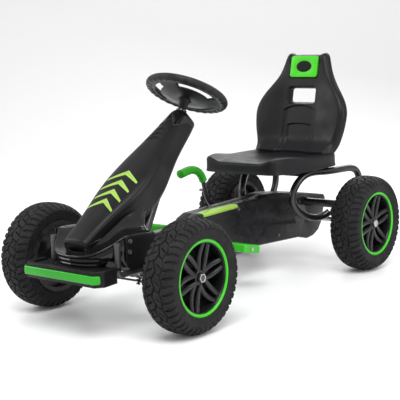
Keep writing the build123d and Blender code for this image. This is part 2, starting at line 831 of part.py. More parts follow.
# ---- Chain: two rows of side plates, with rollers on the straight runs ----
span_y = REAR_Y - CRANK_Y
span_z = AXLE_Z - CRANK_Z
span = hypot(span_y, span_z)
span_angle = degrees(atan2(span_z, span_y))
lean = degrees(atan2(FRONT_PITCH_R - REAR_PITCH_R, span))
with BuildPart() as chain:
    for low in (CHAIN_X - CHAIN_HALF, CHAIN_X + CHAIN_HALF - 1.8):
        with BuildSketch(along_x(low)):
            with Locations((CRANK_Y, CRANK_Z)):
                Circle(FRONT_PITCH_R + 4.5)
            with Locations((REAR_Y, AXLE_Z)):
                Circle(REAR_PITCH_R + 4.5)
            make_hull()
            with BuildSketch(along_x(low), mode=Mode.PRIVATE) as inner:
                with Locations((CRANK_Y, CRANK_Z)):
                    Circle(FRONT_PITCH_R - 4.5)
                with Locations((REAR_Y, AXLE_Z)):
                    Circle(REAR_PITCH_R - 4.5)
                make_hull()
            add(inner.sketch_local, mode=Mode.SUBTRACT)
        extrude(amount=1.8)
    for side in (-1, 1):
        normal = radians(span_angle + side * (90 - lean))
        count = int((span - 40) / PITCH)
        for index in range(count):
            share = (30 + PITCH * index) / span
            radius = FRONT_PITCH_R + (REAR_PITCH_R - FRONT_PITCH_R) * share
            place = (
                CRANK_Y + span_y * share + radius * cos(normal),
                CRANK_Z + span_z * share + radius * sin(normal),
            )
            with BuildSketch(along_x(CHAIN_X - CHAIN_HALF + 1, *place)):
                Circle(3.6)
            extrude(amount=2 * CHAIN_HALF - 2)
write(chain.part, "chain")

# ---- Rear axle, its plates and bearings ----
AXLE_END = TYRE_X + HALF_W - 12
SEAT_TUBE_FRONT_END = (149.0, 420.0, 176.0)
SEAT_TUBE_REAR_END = (149.0, 500.0, 155.0)
BEARING_R = 13.0

with BuildPart() as rear_axle:
    with BuildSketch(along_x(-AXLE_END, REAR_Y, AXLE_Z)):
        Circle(AXLE_R)
    extrude(amount=2 * AXLE_END)
write(rear_axle.part, "rear_axle")

with BuildPart() as bearing_plates:
    for side in (-1, 1):
        with BuildSketch(along_x(side * PLATE_X)):
            with Locations((REAR_Y, CROSS_TUBE_Z)):
                Circle(17)
            with Locations((REAR_Y, AXLE_Z)):
                Circle(22)
            with Locations(SEAT_TUBE_FRONT_END[1:], SEAT_TUBE_REAR_END[1:]):
                Circle(15)
            make_hull()
            with Locations((REAR_Y, AXLE_Z)):
                Circle(BEARING_R, mode=Mode.SUBTRACT)
        extrude(amount=side * PLATE_T)
write(bearing_plates.part, "bearing_plates")

with BuildPart() as axle_bearings:
    for side in (-1, 1):
        with BuildSketch(along_x(side * (PLATE_X - 3), REAR_Y, AXLE_Z)):
            Circle(BEARING_R)
            Circle(AXLE_R + RUNNING, mode=Mode.SUBTRACT)
        extrude(amount=side * 12)
        with BuildSketch(along_x(side * (PLATE_X + PLATE_T), REAR_Y, AXLE_Z)):
            Circle(BEARING_R + 4)
            Circle(AXLE_R + RUNNING, mode=Mode.SUBTRACT)
        extrude(amount=side * 3)
write(axle_bearings.part, "axle_bearings")

with BuildPart() as rear_axle_nuts:
    for side in (-1, 1):
        with BuildSketch(along_x(side * (TYRE_X + HALF_W - 17.5), REAR_Y, AXLE_Z)):
            RegularPolygon(12, 6)
            Circle(AXLE_R, mode=Mode.SUBTRACT)
        extrude(amount=side * 6)
write(rear_axle_nuts.part, "rear_axle_nuts")

# ---- Seat tubes: one bent loop per side ----
with BuildPart() as seat_tube:
    with BuildLine() as loop_line:
        Spline(
            SEAT_TUBE_FRONT_END,
            (107, 338, 175),
            (96, 294, 232),
            (108, 334, 292),
            (128, 420, 300),
            (148, 510, 300),
            (160, 560, 290),
            (163, 578, 252),
            (160, 556, 195),
            SEAT_TUBE_REAR_END,
        )
    with BuildSketch(Plane(origin=loop_line.line @ 0, z_dir=loop_line.line % 0)):
        Circle(SEAT_TUBE_R)
    sweep()
    add(bearing_plates.part, mode=Mode.SUBTRACT)
write(seat_tube.part, "seat_tube_left")
write(mirrored(seat_tube.part), "seat_tube_right")

# ---- Seat rails on the tubes, and the slides under the seat ----
CROSS_BAR_TOP = 300.0
CROSS_BARS = ((352.0, 110.0), (498.0, 144.0))
RAIL_W = 20.0
RAIL_H = 10.0
RAIL_SPAN = (330.0, 522.0)
SLIDE_SPAN = (362.0, 462.0)
SLIDE_CLEAR = 0.2

with BuildPart() as seat_rails:
    for bar_y, half in CROSS_BARS:
        with BuildSketch(along_x(-half, bar_y, CROSS_BAR_TOP - 4)):
            Rectangle(24, 8)
        extrude(amount=2 * half)
    for side in (-1, 1):
        with BuildSketch(Plane.XZ.offset(-RAIL_SPAN[0])):
            with Locations((side * RAIL_X, CROSS_BAR_TOP + RAIL_H / 2)):
                Rectangle(RAIL_W, RAIL_H)
        extrude(amount=RAIL_SPAN[0] - RAIL_SPAN[1])
    add(seat_tube.part, mode=Mode.SUBTRACT)
    add(mirrored(seat_tube.part), mode=Mode.SUBTRACT)
write(seat_rails.part, "seat_rails")

slide_top = CROSS_BAR_TOP + RAIL_H + 4
with BuildPart() as seat_slides:
    for side in (-1, 1):
        with BuildSketch(Plane.XZ.offset(-SLIDE_SPAN[0])):
            with Locations((side * RAIL_X, (CROSS_BAR_TOP + 1.5 + slide_top) / 2)):
                Rectangle(RAIL_W + 6, slide_top - CROSS_BAR_TOP - 1.5)
            with Locations((side * RAIL_X, CROSS_BAR_TOP + RAIL_H / 2)):
                Rectangle(
                    RAIL_W + 2 * SLIDE_CLEAR, RAIL_H + 2 * SLIDE_CLEAR, mode=Mode.SUBTRACT
                )
        extrude(amount=SLIDE_SPAN[0] - SLIDE_SPAN[1])
        for post_y in (SLIDE_SPAN[0] + 18, SLIDE_SPAN[1] - 18):
            with BuildSketch(Plane.XY.offset(slide_top)):
                with Locations((side * RAIL_X, post_y)):
                    Circle(9)
            extrude(amount=SEAT_PAN_Z - slide_top)
write(seat_slides.part, "seat_slides")

# ---- Seat shell ----
SEAT_TOP = 358.0
SEAT_SKIRT_Z = 315.0
BACK_TILT = radians(13.0)
BACK_DEPTH = 28.0
BACK_WALL = 4.0
BACK = Plane(
    origin=(0, 454, 352), x_dir=(1, 0, 0), z_dir=(0, -cos(BACK_TILT), sin(BACK_TILT))
)
WINDOW_PLACE = 182.0
WINDOW_SIZE = (94.0, 45.0)
INSERT_PLACE = 276.0
INSERT_SIZE = (100.0, 68.0)
BUTTON_RADII = (28.0, 18.0)


def base_outline(inset):
    """Plan of the seat base: a nearly straight front and full sides."""
    with BuildSketch() as outline:
        Polygon(
            (-128, 150),
            (0, 145),
            (128, 150),
            (151, 300),
            (148, 440),
            (136, 484),
            (-136, 484),
            (-148, 440),
            (-151, 300),
            align=None,
        )
        fillet(outline.vertices().sort_by(Axis.Y)[1:], 28)
        if inset:
            offset(amount=-inset, mode=Mode.REPLACE)
    return outline.sketch


def back_outline():
    """Outline of the backrest: wide in the middle, two horns at the top."""
    with BuildSketch() as outline:
        with BuildLine():
            Polyline((0, 313), (50, 313), (55, 316))
            Spline(
                (55, 316),
                (65, 319),
                (76, 308),
                (84, 283),
                (101, 243),
                (141, 189),
                (165, 151),
                (168, 116),
                (156, 50),
                (143, -8),
            )
            Line((143, -8), (0, -8))
            mirror(about=Plane.YZ)
        make_face()
    return outline.sketch


def back_cavity():
    """The hollow behind the backrest, inside its rim."""
    with BuildSketch() as outline:
        with BuildLine():
            Line((0, 286), (68, 286))
            Spline(
                (68, 286),
                (94, 239),
                (135, 184),
                (158, 148),
                (162, 115),
                (150, 50),
                (138, 8),
            )
            Line((138, 8), (0, 8))
            mirror(about=Plane.YZ)
        make_face()
    return outline.sketch


with BuildPart() as seat_shell:
    with BuildSketch(Plane.XY.offset(SEAT_SKIRT_Z)):
        add(base_outline(0))
    extrude(amount=SEAT_TOP - SEAT_SKIRT_Z)
    fillet(seat_shell.faces().sort_by(Axis.Z)[-1].edges(), 8)
    with BuildSketch(BACK):
        add(back_outline())
    extrude(amount=-BACK_DEPTH)
    with BuildSketch(BACK.offset(-BACK_WALL)):
        add(back_cavity())
    extrude(amount=-BACK_DEPTH, mode=Mode.SUBTRACT)
    with BuildSketch(Plane.XY.offset(SEAT_SKIRT_Z)):
        add(base_outline(BACK_WALL))
    extrude(amount=SEAT_PAN_Z - SEAT_SKIRT_Z, mode=Mode.SUBTRACT)
    with BuildSketch(BACK):
        with Locations((0, WINDOW_PLACE)):
            RectangleRounded(*WINDOW_SIZE, 6)
    extrude(amount=-BACK_DEPTH, mode=Mode.SUBTRACT)
    with BuildSketch(BACK):
        with Locations((0, INSERT_PLACE)):
            RectangleRounded(*INSERT_SIZE, 8)
    extrude(amount=-BACK_WALL, mode=Mode.SUBTRACT)
write(seat_shell.part, "seat_shell")

with BuildPart() as headrest_insert:
    with BuildSketch(BACK.offset(-BACK_WALL)):
        with Locations((0, INSERT_PLACE)):
            RectangleRounded(*INSERT_SIZE, 8)
    extrude(amount=7)
    with BuildSketch(BACK.offset(-1)):
        with Locations((0, INSERT_PLACE)):
            Ellipse(*BUTTON_RADII)
    extrude(amount=10, mode=Mode.SUBTRACT)
write(headrest_insert.part, "headrest_insert")

with BuildPart() as headrest_button:
    with BuildSketch(BACK.offset(-1)):
        with Locations((0, INSERT_PLACE)):
            Ellipse(*BUTTON_RADII)
    extrude(amount=6, taper=12)
write(headrest_button.part, "headrest_button")

# ---- Hand brake on the right side ----
PIVOT_R = 5.0
LEVER_T = 5.0
lever_x = BRAKE_X - LEVER_T / 2

with BuildPart() as brake_bracket:
    with BuildSketch(along_x(-CASE_HALF)):
        with Locations((BRAKE_Y, BRAKE_Z)):
            Circle(15)
        with Locations((BRAKE_Y + 40, BRAKE_Z)):
            Circle(12)
        make_hull()
    extrude(amount=-4)
    with BuildSketch(along_x(-CASE_HALF - 4, BRAKE_Y, BRAKE_Z)):
        Circle(10)
    extrude(amount=lever_x + LEVER_T + 1 + CASE_HALF + 4)
    with BuildSketch(along_x(lever_x + LEVER_T + 1, BRAKE_Y, BRAKE_Z)):
        Circle(PIVOT_R)
    extrude(amount=-LEVER_T - 2)
    with BuildSketch(along_x(lever_x - 1, BRAKE_Y, BRAKE_Z)):
        RegularPolygon(8, 6)
    extrude(amount=-4)
    with BuildSketch(along_x(-CASE_HALF, BRAKE_Y + 40, BRAKE_Z - 8)):
        Rectangle(16, 8)
    extrude(amount=-46)
write(brake_bracket.part, "brake_bracket")

with BuildPart() as brake_lever:
    with BuildSketch(along_x(lever_x)):
        with BuildLine():
            lever_line = Spline(
                (152, 172),
                (150, 205),
                (112, 226),
                (86, 262),
                (77, 296),
                (60, 326),
                (18, 340),
            )
        trace(lever_line, line_width=15)
        with Locations((BRAKE_Y, BRAKE_Z)):
            Circle(13)
            Circle(PIVOT_R + RUNNING, mode=Mode.SUBTRACT)
    extrude(amount=LEVER_T)
    with BuildSketch(along_x(lever_x, 85, 272)):
        Circle(4)
    extrude(amount=-18)
write(brake_lever.part, "brake_lever")

with BuildPart() as brake_grip:
    with BuildLine() as grip_line:
        Spline(
            (BRAKE_X, 76, 300),
            (BRAKE_X, 60, 326),
            (BRAKE_X, 18, 341),
            (BRAKE_X, -30, 333),
        )
    with BuildSketch(Plane(origin=grip_line.line @ 0, z_dir=grip_line.line % 0)):
        Circle(12)
    sweep()
    add(brake_lever.part, mode=Mode.SUBTRACT)
write(brake_grip.part, "brake_grip")

with BuildPart() as brake_drum:
    with BuildSketch(along_x(DRUM_X, REAR_Y, AXLE_Z)):
        Circle(DRUM_R)
        Circle(AXLE_R, mode=Mode.SUBTRACT)
    extrude(amount=20)
write(brake_drum.part, "brake_drum")

BAND_GAP = 0.4
BAND_T = 3.0
with BuildPart() as brake_band:
    with BuildSketch(along_x(DRUM_X + 3, REAR_Y, AXLE_Z)):
        Circle(DRUM_R + BAND_GAP + BAND_T)
        with Locations((-DRUM_R - 8, 0)):
            Rectangle(20, 9)
        with Locations((0, DRUM_R + 6)):
            Rectangle(12, 14)
        Circle(DRUM_R + BAND_GAP, mode=Mode.SUBTRACT)
    extrude(amount=14)
    add(main_frame.part, mode=Mode.SUBTRACT)
write(brake_band.part, "brake_band")

with BuildPart() as brake_cable:
    with BuildLine() as cable_line:
        Spline(
            (BRAKE_X - 2, BRAKE_Y + 51, BRAKE_Z - 8),
            (BRAKE_X - 2, 260, 175),
            (BRAKE_X - 8, 350, 150),
            (DRUM_X + 10, REAR_Y - 50, AXLE_Z),
        )
    with BuildSketch(Plane(origin=cable_line.line @ 0, z_dir=cable_line.line % 0)):
        Circle(2.5)
    sweep()
write(brake_cable.part, "brake_cable")

# ---- Screws and bolts ----
CASE_SCREWS = [(-92, 160), (-60, 215), (100, 222), (300, 110), (420, 200), (540, 190)]
GUARD_SCREWS = [(-473, 234), (-476, 208)]
with BuildPart() as panel_screws:
    for side in (-1, 1):
        for place in CASE_SCREWS:
            with BuildSketch(along_x(side * CASE_HALF, *place)):
                Circle(5)
            extrude(amount=side * 2.5)
        for place in GUARD_SCREWS:
            with BuildSketch(along_x(side * (COWL_X + GUARD_T), *place)):
                RegularPolygon(6, 6)
            extrude(amount=side * 4)
write(panel_screws.part, "panel_screws")

with BuildPart() as frame_bolts:
    for side in (-1, 1):
        for place in (SEAT_TUBE_FRONT_END[1:], SEAT_TUBE_REAR_END[1:]):
            with BuildSketch(along_x(side * (PLATE_X + PLATE_T), *place)):
                RegularPolygon(7, 6)
            extrude(amount=side * 5)
write(frame_bolts.part, "frame_bolts")
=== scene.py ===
import json
import math

import bmesh
import bpy
import numpy as np
from mathutils import Matrix, Vector

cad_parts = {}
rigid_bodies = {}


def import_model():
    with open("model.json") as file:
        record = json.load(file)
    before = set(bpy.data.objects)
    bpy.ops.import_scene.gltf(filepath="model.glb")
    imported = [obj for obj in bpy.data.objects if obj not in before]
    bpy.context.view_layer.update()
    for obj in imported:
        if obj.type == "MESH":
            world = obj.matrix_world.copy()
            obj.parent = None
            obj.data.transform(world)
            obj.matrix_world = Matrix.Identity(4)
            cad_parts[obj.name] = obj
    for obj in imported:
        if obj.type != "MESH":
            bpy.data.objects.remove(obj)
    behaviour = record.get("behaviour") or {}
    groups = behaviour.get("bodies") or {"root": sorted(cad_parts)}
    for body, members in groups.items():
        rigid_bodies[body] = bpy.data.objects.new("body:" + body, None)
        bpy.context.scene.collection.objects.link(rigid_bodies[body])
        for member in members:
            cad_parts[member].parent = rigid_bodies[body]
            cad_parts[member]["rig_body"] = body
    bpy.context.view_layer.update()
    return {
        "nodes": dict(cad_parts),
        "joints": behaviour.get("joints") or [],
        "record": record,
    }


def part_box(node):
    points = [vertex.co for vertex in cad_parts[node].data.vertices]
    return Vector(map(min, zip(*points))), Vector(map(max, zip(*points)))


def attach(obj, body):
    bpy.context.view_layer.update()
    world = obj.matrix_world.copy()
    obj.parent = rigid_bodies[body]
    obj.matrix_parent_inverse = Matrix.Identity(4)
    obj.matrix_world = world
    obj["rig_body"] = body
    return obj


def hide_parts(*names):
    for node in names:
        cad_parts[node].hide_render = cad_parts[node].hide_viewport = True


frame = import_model()
NODES = frame["nodes"]
JOINTS = {joint["name"]: joint for joint in frame["joints"]}
SLOTS = {part["node"]: part["material_slot"] for part in frame["record"]["subparts"]}
MM = 0.001
TAU = 2 * math.pi
MERGE = 0.02 * MM
SLIVER = 0.005 * MM


# -------------------------------- small maths

def smooth(low, high, value):
    """0 below low, 1 above high, an S curve between; works on numbers and arrays."""
    share = np.clip((np.asarray(value, float) - low) / (high - low), 0, 1)
    return share * share * (3 - 2 * share)


def triangle(phase):
    """A triangle wave from -1 to 1 with period 1."""
    return 4 * np.abs((np.asarray(phase, float) % 1) - 0.5) - 1


def turns(count):
    """Angles all the way round, evenly spread."""
    return np.linspace(0, TAU, count, endpoint=False)


def curve_through(points, count):
    """Points on a Catmull-Rom curve through the given points, evenly spread by index."""
    pts = np.array(points, float)
    padded = np.vstack([2 * pts[0] - pts[1], pts, 2 * pts[-1] - pts[-2]])
    out = []
    for place in np.linspace(0, len(pts) - 1, count):
        i = min(int(place), len(pts) - 2)
        t = place - i
        a, b, c, d = padded[i : i + 4]
        out.append(0.5 * (2 * b + (c - a) * t + (2 * a - 5 * b + 4 * c - d) * t**2
                          + (3 * b - a - 3 * c + d) * t**3))
    return np.array(out)


def table_value(stations, values, place):
    """A smooth value between stations, without overshoot."""
    stations = np.array(stations, float)
    values = np.array(values, float)
    slopes = np.gradient(values, stations)
    i = np.clip(np.searchsorted(stations, place) - 1, 0, len(stations) - 2)
    step = stations[i + 1] - stations[i]
    t = np.clip((place - stations[i]) / step, 0, 1)
    h00 = 2 * t**3 - 3 * t**2 + 1
    h10 = t**3 - 2 * t**2 + t
    h01 = 3 * t**2 - 2 * t**3
    h11 = t**3 - t**2
    return (h00 * values[i] + h10 * step * slopes[i]
            + h01 * values[i + 1] + h11 * step * slopes[i + 1])


# -------------------------------- materials

class Nodes:
    """Short names for building one material's node tree."""

    def __init__(self, name):
        self.material = bpy.data.materials.new(name)
        self.material.use_nodes = True
        self.tree = self.material.node_tree
        self.bsdf = self.tree.nodes["Principled BSDF"]
        self.coords = self.add("ShaderNodeTexCoord").outputs["Object"]

    def add(self, kind, **settings):
        node = self.tree.nodes.new(kind)
        for key, value in settings.items():
            setattr(node, key, value)
        return node

    def link(self, source, target):
        self.tree.links.new(source, target)

    def noise(self, scale, detail=3.0, rough=0.55, stretch=None):
        node = self.add("ShaderNodeTexNoise")
        node.inputs["Scale"].default_value = scale
        node.inputs["Detail"].default_value = detail
        node.inputs["Roughness"].default_value = rough
        source = self.coords
        if stretch:
            mapping = self.add("ShaderNodeMapping")
            mapping.inputs["Scale"].default_value = stretch
            self.link(source, mapping.inputs["Vector"])
            source = mapping.outputs["Vector"]
        self.link(source, node.inputs["Vector"])
        return node.outputs["Fac"]

    def remap(self, value, low_in, high_in, low, high):
        node = self.add("ShaderNodeMapRange")
        for key, number in (("From Min", low_in), ("From Max", high_in),
                            ("To Min", low), ("To Max", high)):
            node.inputs[key].default_value = number
        self.link(value, node.inputs["Value"])
        return node.outputs["Result"]

    def math(self, operation, a, b):
        node = self.add("ShaderNodeMath", operation=operation)
        for slot, value in enumerate((a, b)):
            if isinstance(value, (int, float)):
                node.inputs[slot].default_value = value
            else:
                self.link(value, node.inputs[slot])
        return node.outputs["Value"]

    def mix(self, share, a, b):
        node = self.add("ShaderNodeMix", data_type="RGBA")
        self.link(share, node.inputs["Factor"])
        for socket, colour in ((node.inputs["A"], a), (node.inputs["B"], b)):
            if isinstance(colour, tuple):
                socket.default_value = (*colour, 1)
            else:
                self.link(colour, socket)
        return node.outputs["Result"]

    def edges(self, low=0.53, high=0.62):
        """1 on convex edges, 0 on flats."""
        pointiness = self.add("ShaderNodeNewGeometry").outputs["Pointiness"]
        return self.remap(pointiness, low, high, 0, 1)

    def bump(self, height, strength, distance):
        node = self.add("ShaderNodeBump")
        node.inputs["Strength"].default_value = strength
        node.inputs["Distance"].default_value = distance
        self.link(height, node.inputs["Height"])
        self.feed("Normal", node.outputs["Normal"])

    def feed(self, name, source):
        """Drives an input of the surface."""
        self.link(source, self.bsdf.inputs[name])

    def set(self, **values):
        for key, value in values.items():
            self.bsdf.inputs[key.replace("_", " ")].default_value = value


def moulded(name, colour, light, roughness, spread=0.08, grain=900, depth=0.00012,
            strength=0.25, coat=0.0, wear=0.35, shine=0.17):
    """Moulded plastic: fine grain, cloudy sheen, paler scuffed edges."""
    n = Nodes(name)
    cloud = n.noise(9, 4)
    fine = n.noise(grain, 2)
    base = n.mix(n.remap(cloud, 0.3, 0.7, 0, 1), colour, tuple(c * 1.25 for c in colour))
    scuff = n.math("MULTIPLY", n.edges(), n.remap(n.noise(60, 5), 0.42, 0.62, 0, wear))
    n.feed("Base Color", n.mix(scuff, base, light))
    patch = n.remap(n.noise(26, 5), 0.3, 0.7, roughness - spread, roughness + spread)
    n.feed("Roughness", n.math("ADD", patch, n.math("MULTIPLY", scuff, 0.25)))
    n.bump(fine, strength, depth)
    n.set(Coat_Weight=coat, Coat_Roughness=0.12, IOR=1.5, Specular_IOR_Level=shine)
    return n.material


def metal(name, colour, roughness, brushed=None, metallic=1.0, wear=(0.5, 0.5, 0.5)):
    """Metal with a brushed or cloudy surface."""
    n = Nodes(name)
    streaks = n.noise(220, 3, 0.6, brushed or (1, 1, 1))
    tone = n.remap(n.noise(18, 4), 0.3, 0.7, 0, 1)
    base = n.mix(tone, colour, tuple(c * 0.72 for c in colour))
    n.feed("Base Color", n.mix(n.remap(n.edges(), 0, 1, 0, 0.4), base, wear))
    n.feed("Roughness", n.remap(streaks, 0.25, 0.75, roughness - 0.08, roughness + 0.1))
    n.bump(streaks, 0.15, 0.0001)
    n.set(Metallic=metallic)
    return n.material


def powder_coat(name, colour, roughness):
    """Black powder coat on steel: orange-peel bump, chips to bare metal on sharp edges."""
    n = Nodes(name)
    chips = n.math("MULTIPLY", n.edges(0.56, 0.66), n.remap(n.noise(140, 6), 0.5, 0.62, 0, 0.5))
    tone = n.remap(n.noise(14, 4), 0.3, 0.7, 0, 1)
    base = n.mix(tone, colour, tuple(c * 1.3 for c in colour))
    n.feed("Base Color", n.mix(chips, base, (0.35, 0.34, 0.33)))
    n.feed("Roughness", n.remap(n.noise(40, 4), 0.3, 0.7, roughness - 0.06, roughness + 0.06))
    n.bump(n.noise(420, 2), 0.22, 0.0002)
    n.set(Coat_Weight=0.35, Coat_Roughness=0.2)
    return n.material


def rubber(name, colour, dusty, roughness):
    """Tyre and grip rubber: matte, with faint patches of dust and paler rubbed edges."""
    n = Nodes(name)
    dust = n.math("MULTIPLY", n.remap(n.noise(38, 6), 0.45, 0.7, 0, 1), 0.45)
    rubbed = n.math("MULTIPLY", n.edges(0.5, 0.6), 0.35)
    base = n.mix(dust, colour, dusty)
    n.feed("Base Color", n.mix(rubbed, base, tuple(c * 1.6 for c in dusty)))
    n.feed("Roughness", n.remap(n.noise(70, 4), 0.3, 0.7, roughness - 0.08, roughness + 0.08))
    n.bump(n.noise(1200, 3), 0.35, 0.00018)
    n.set(Specular_IOR_Level=0.14)
    return n.material


BLACK = (0.0065, 0.0065, 0.0073)
PALE_BLACK = (0.04, 0.04, 0.043)
MATERIALS = {
    "black_plastic": moulded("moulded_black", BLACK, PALE_BLACK, 0.36),
    "case_plastic": moulded("case_black", (0.007, 0.007, 0.008), PALE_BLACK, 0.3, grain=700,
                            shine=0.28, wear=0.15),
    "seat_plastic": moulded("seat_black", (0.0075, 0.0075, 0.0085), (0.035, 0.035, 0.038), 0.4,
                            grain=620, depth=0.0002, strength=0.35),
    "gloss_black": moulded("gloss_black", (0.005, 0.005, 0.0055), (0.03, 0.03, 0.03), 0.14,
                           spread=0.04, strength=0.06, coat=0.25, wear=0.15, shine=0.3),
    "green_plastic": moulded("green_plastic", (0.035, 0.36, 0.02), (0.14, 0.6, 0.1), 0.3,
                             spread=0.06, strength=0.12, coat=0.15, wear=0.3),
    "green_strip": moulded("green_strip", (0.018, 0.27, 0.012), (0.1, 0.5, 0.07), 0.25,
                           spread=0.06, strength=0.1, coat=0.2, wear=0.2),
    "green_insert": moulded("green_insert", (0.045, 0.42, 0.012), (0.15, 0.6, 0.09), 0.38,
                            spread=0.06, strength=0.12, coat=0.1, wear=0.2),
    "green_ring": moulded("green_ring", (0.04, 0.4, 0.014), (0.15, 0.6, 0.09), 0.38,
                          spread=0.06, strength=0.15, coat=0.1, wear=0.3),
    "green_grip": moulded("green_grip", (0.02, 0.26, 0.01), (0.1, 0.5, 0.06), 0.5,
                          grain=1100, strength=0.3, wear=0.2),
    "tyre_rubber": rubber("tyre_rubber", (0.0095, 0.0095, 0.0102), (0.03, 0.0295, 0.0285), 0.62),
    "rim_black": moulded("rim_black", (0.008, 0.008, 0.009), (0.05, 0.05, 0.053), 0.26,
                         spread=0.06, strength=0.15, shine=0.3),
    "frame_paint": powder_coat("frame_paint", (0.008, 0.008, 0.009), 0.3),
    # the posts' own grey metal, darkened part way as painted shade for the near post
    "post_grey_part_painted_shade": metal("post_grey_part_painted_shade", (0.1, 0.1, 0.105), 0.4, metallic=0.7, wear=(0.4, 0.4, 0.4)),
    "dull_steel": metal("dull_steel", (0.2, 0.2, 0.2), 0.42, wear=(0.45, 0.45, 0.44)),
    "steel": metal("zinc_steel", (0.58, 0.57, 0.55), 0.3, (1, 12, 12), wear=(0.8, 0.8, 0.78)),
    "chain_steel": metal("oiled_steel", (0.24, 0.22, 0.2), 0.36, wear=(0.5, 0.48, 0.44)),
    "bush_plastic": moulded("nylon", (0.42, 0.42, 0.39), (0.7, 0.7, 0.66), 0.5),
    "grip_black": rubber("grip_black", (0.011, 0.011, 0.012), (0.04, 0.04, 0.04), 0.42),
    "cable_black": rubber("cable_black", (0.012, 0.012, 0.012), (0.04, 0.04, 0.04), 0.55),
    "lime_decal": moulded("lime_decal", (0.24, 0.41, 0.045), (0.36, 0.55, 0.1), 0.34,
                          strength=0.05, coat=0.4, wear=0.05),
    "shadow_black": moulded("shadow_black", (0.004, 0.004, 0.0045), (0.02, 0.02, 0.02), 0.6),
}


# -------------------------------- mesh helpers

def box_mm(node):
    """A CAD node's corners, in millimetres."""
    low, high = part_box(node)
    return np.array(low) / MM, np.array(high) / MM


def joint_mm(name):
    """A joint's place, in millimetres."""
    return np.array(JOINTS[name]["pos_m"], float) / MM


def new_object(name, data):
    """An object in the scene for some mesh, lamp or camera data."""
    obj = bpy.data.objects.new(name, data)
    bpy.context.scene.collection.objects.link(obj)
    return obj


def modifier(obj, kind, **settings):
    """Adds a modifier with its settings."""
    made = obj.modifiers.new(kind.lower(), kind)
    for key, value in settings.items():
        setattr(made, key, value)


def thicken(obj, thickness, offset=-1, **settings):
    """Gives a sheet its thickness, in millimetres."""
    modifier(obj, "SOLIDIFY", thickness=thickness * MM, offset=offset, **settings)


def bevel(obj, width, segments, angle, **settings):
    """Rounds edges sharper than an angle in degrees; the width is in millimetres."""
    modifier(obj, "BEVEL", width=width * MM, segments=segments, limit_method="ANGLE",
             angle_limit=math.radians(angle), **settings)


def lengths_along(points):
    """The distance along a polyline at each of its points."""
    return np.concatenate([[0], np.cumsum(np.linalg.norm(np.diff(points, axis=0), axis=1))])


def evenly(points, count):
    """The same polyline with its points evenly spaced along its length."""
    points = np.asarray(points, float)
    lengths = lengths_along(points)
    places = np.linspace(0, lengths[-1], count)
    return np.stack([np.interp(places, lengths, points[:, i])
                     for i in range(points.shape[1])], axis=1)


def mirrored(half):
    """A closed loop from the half of it at +X."""
    return np.vstack([half, half[-2:0:-1] * ((-1,) + (1,) * (half.shape[1] - 1))])


def outward(outline, middle):
    """Unit directions square to a flat closed outline, pointing away from its middle."""
    tangent = np.roll(outline, -1, axis=0) - np.roll(outline, 1, axis=0)
    normal = np.stack([tangent[:, 1], -tangent[:, 0]], axis=1)
    normal /= np.linalg.norm(normal, axis=1)[:, None]
    return normal * np.sign(np.sum(normal * (outline - middle), axis=1))[:, None]


TUBE_END = ((0.35, 0.28), (0.75, 0.18))  # size and reach of the rings that round an end


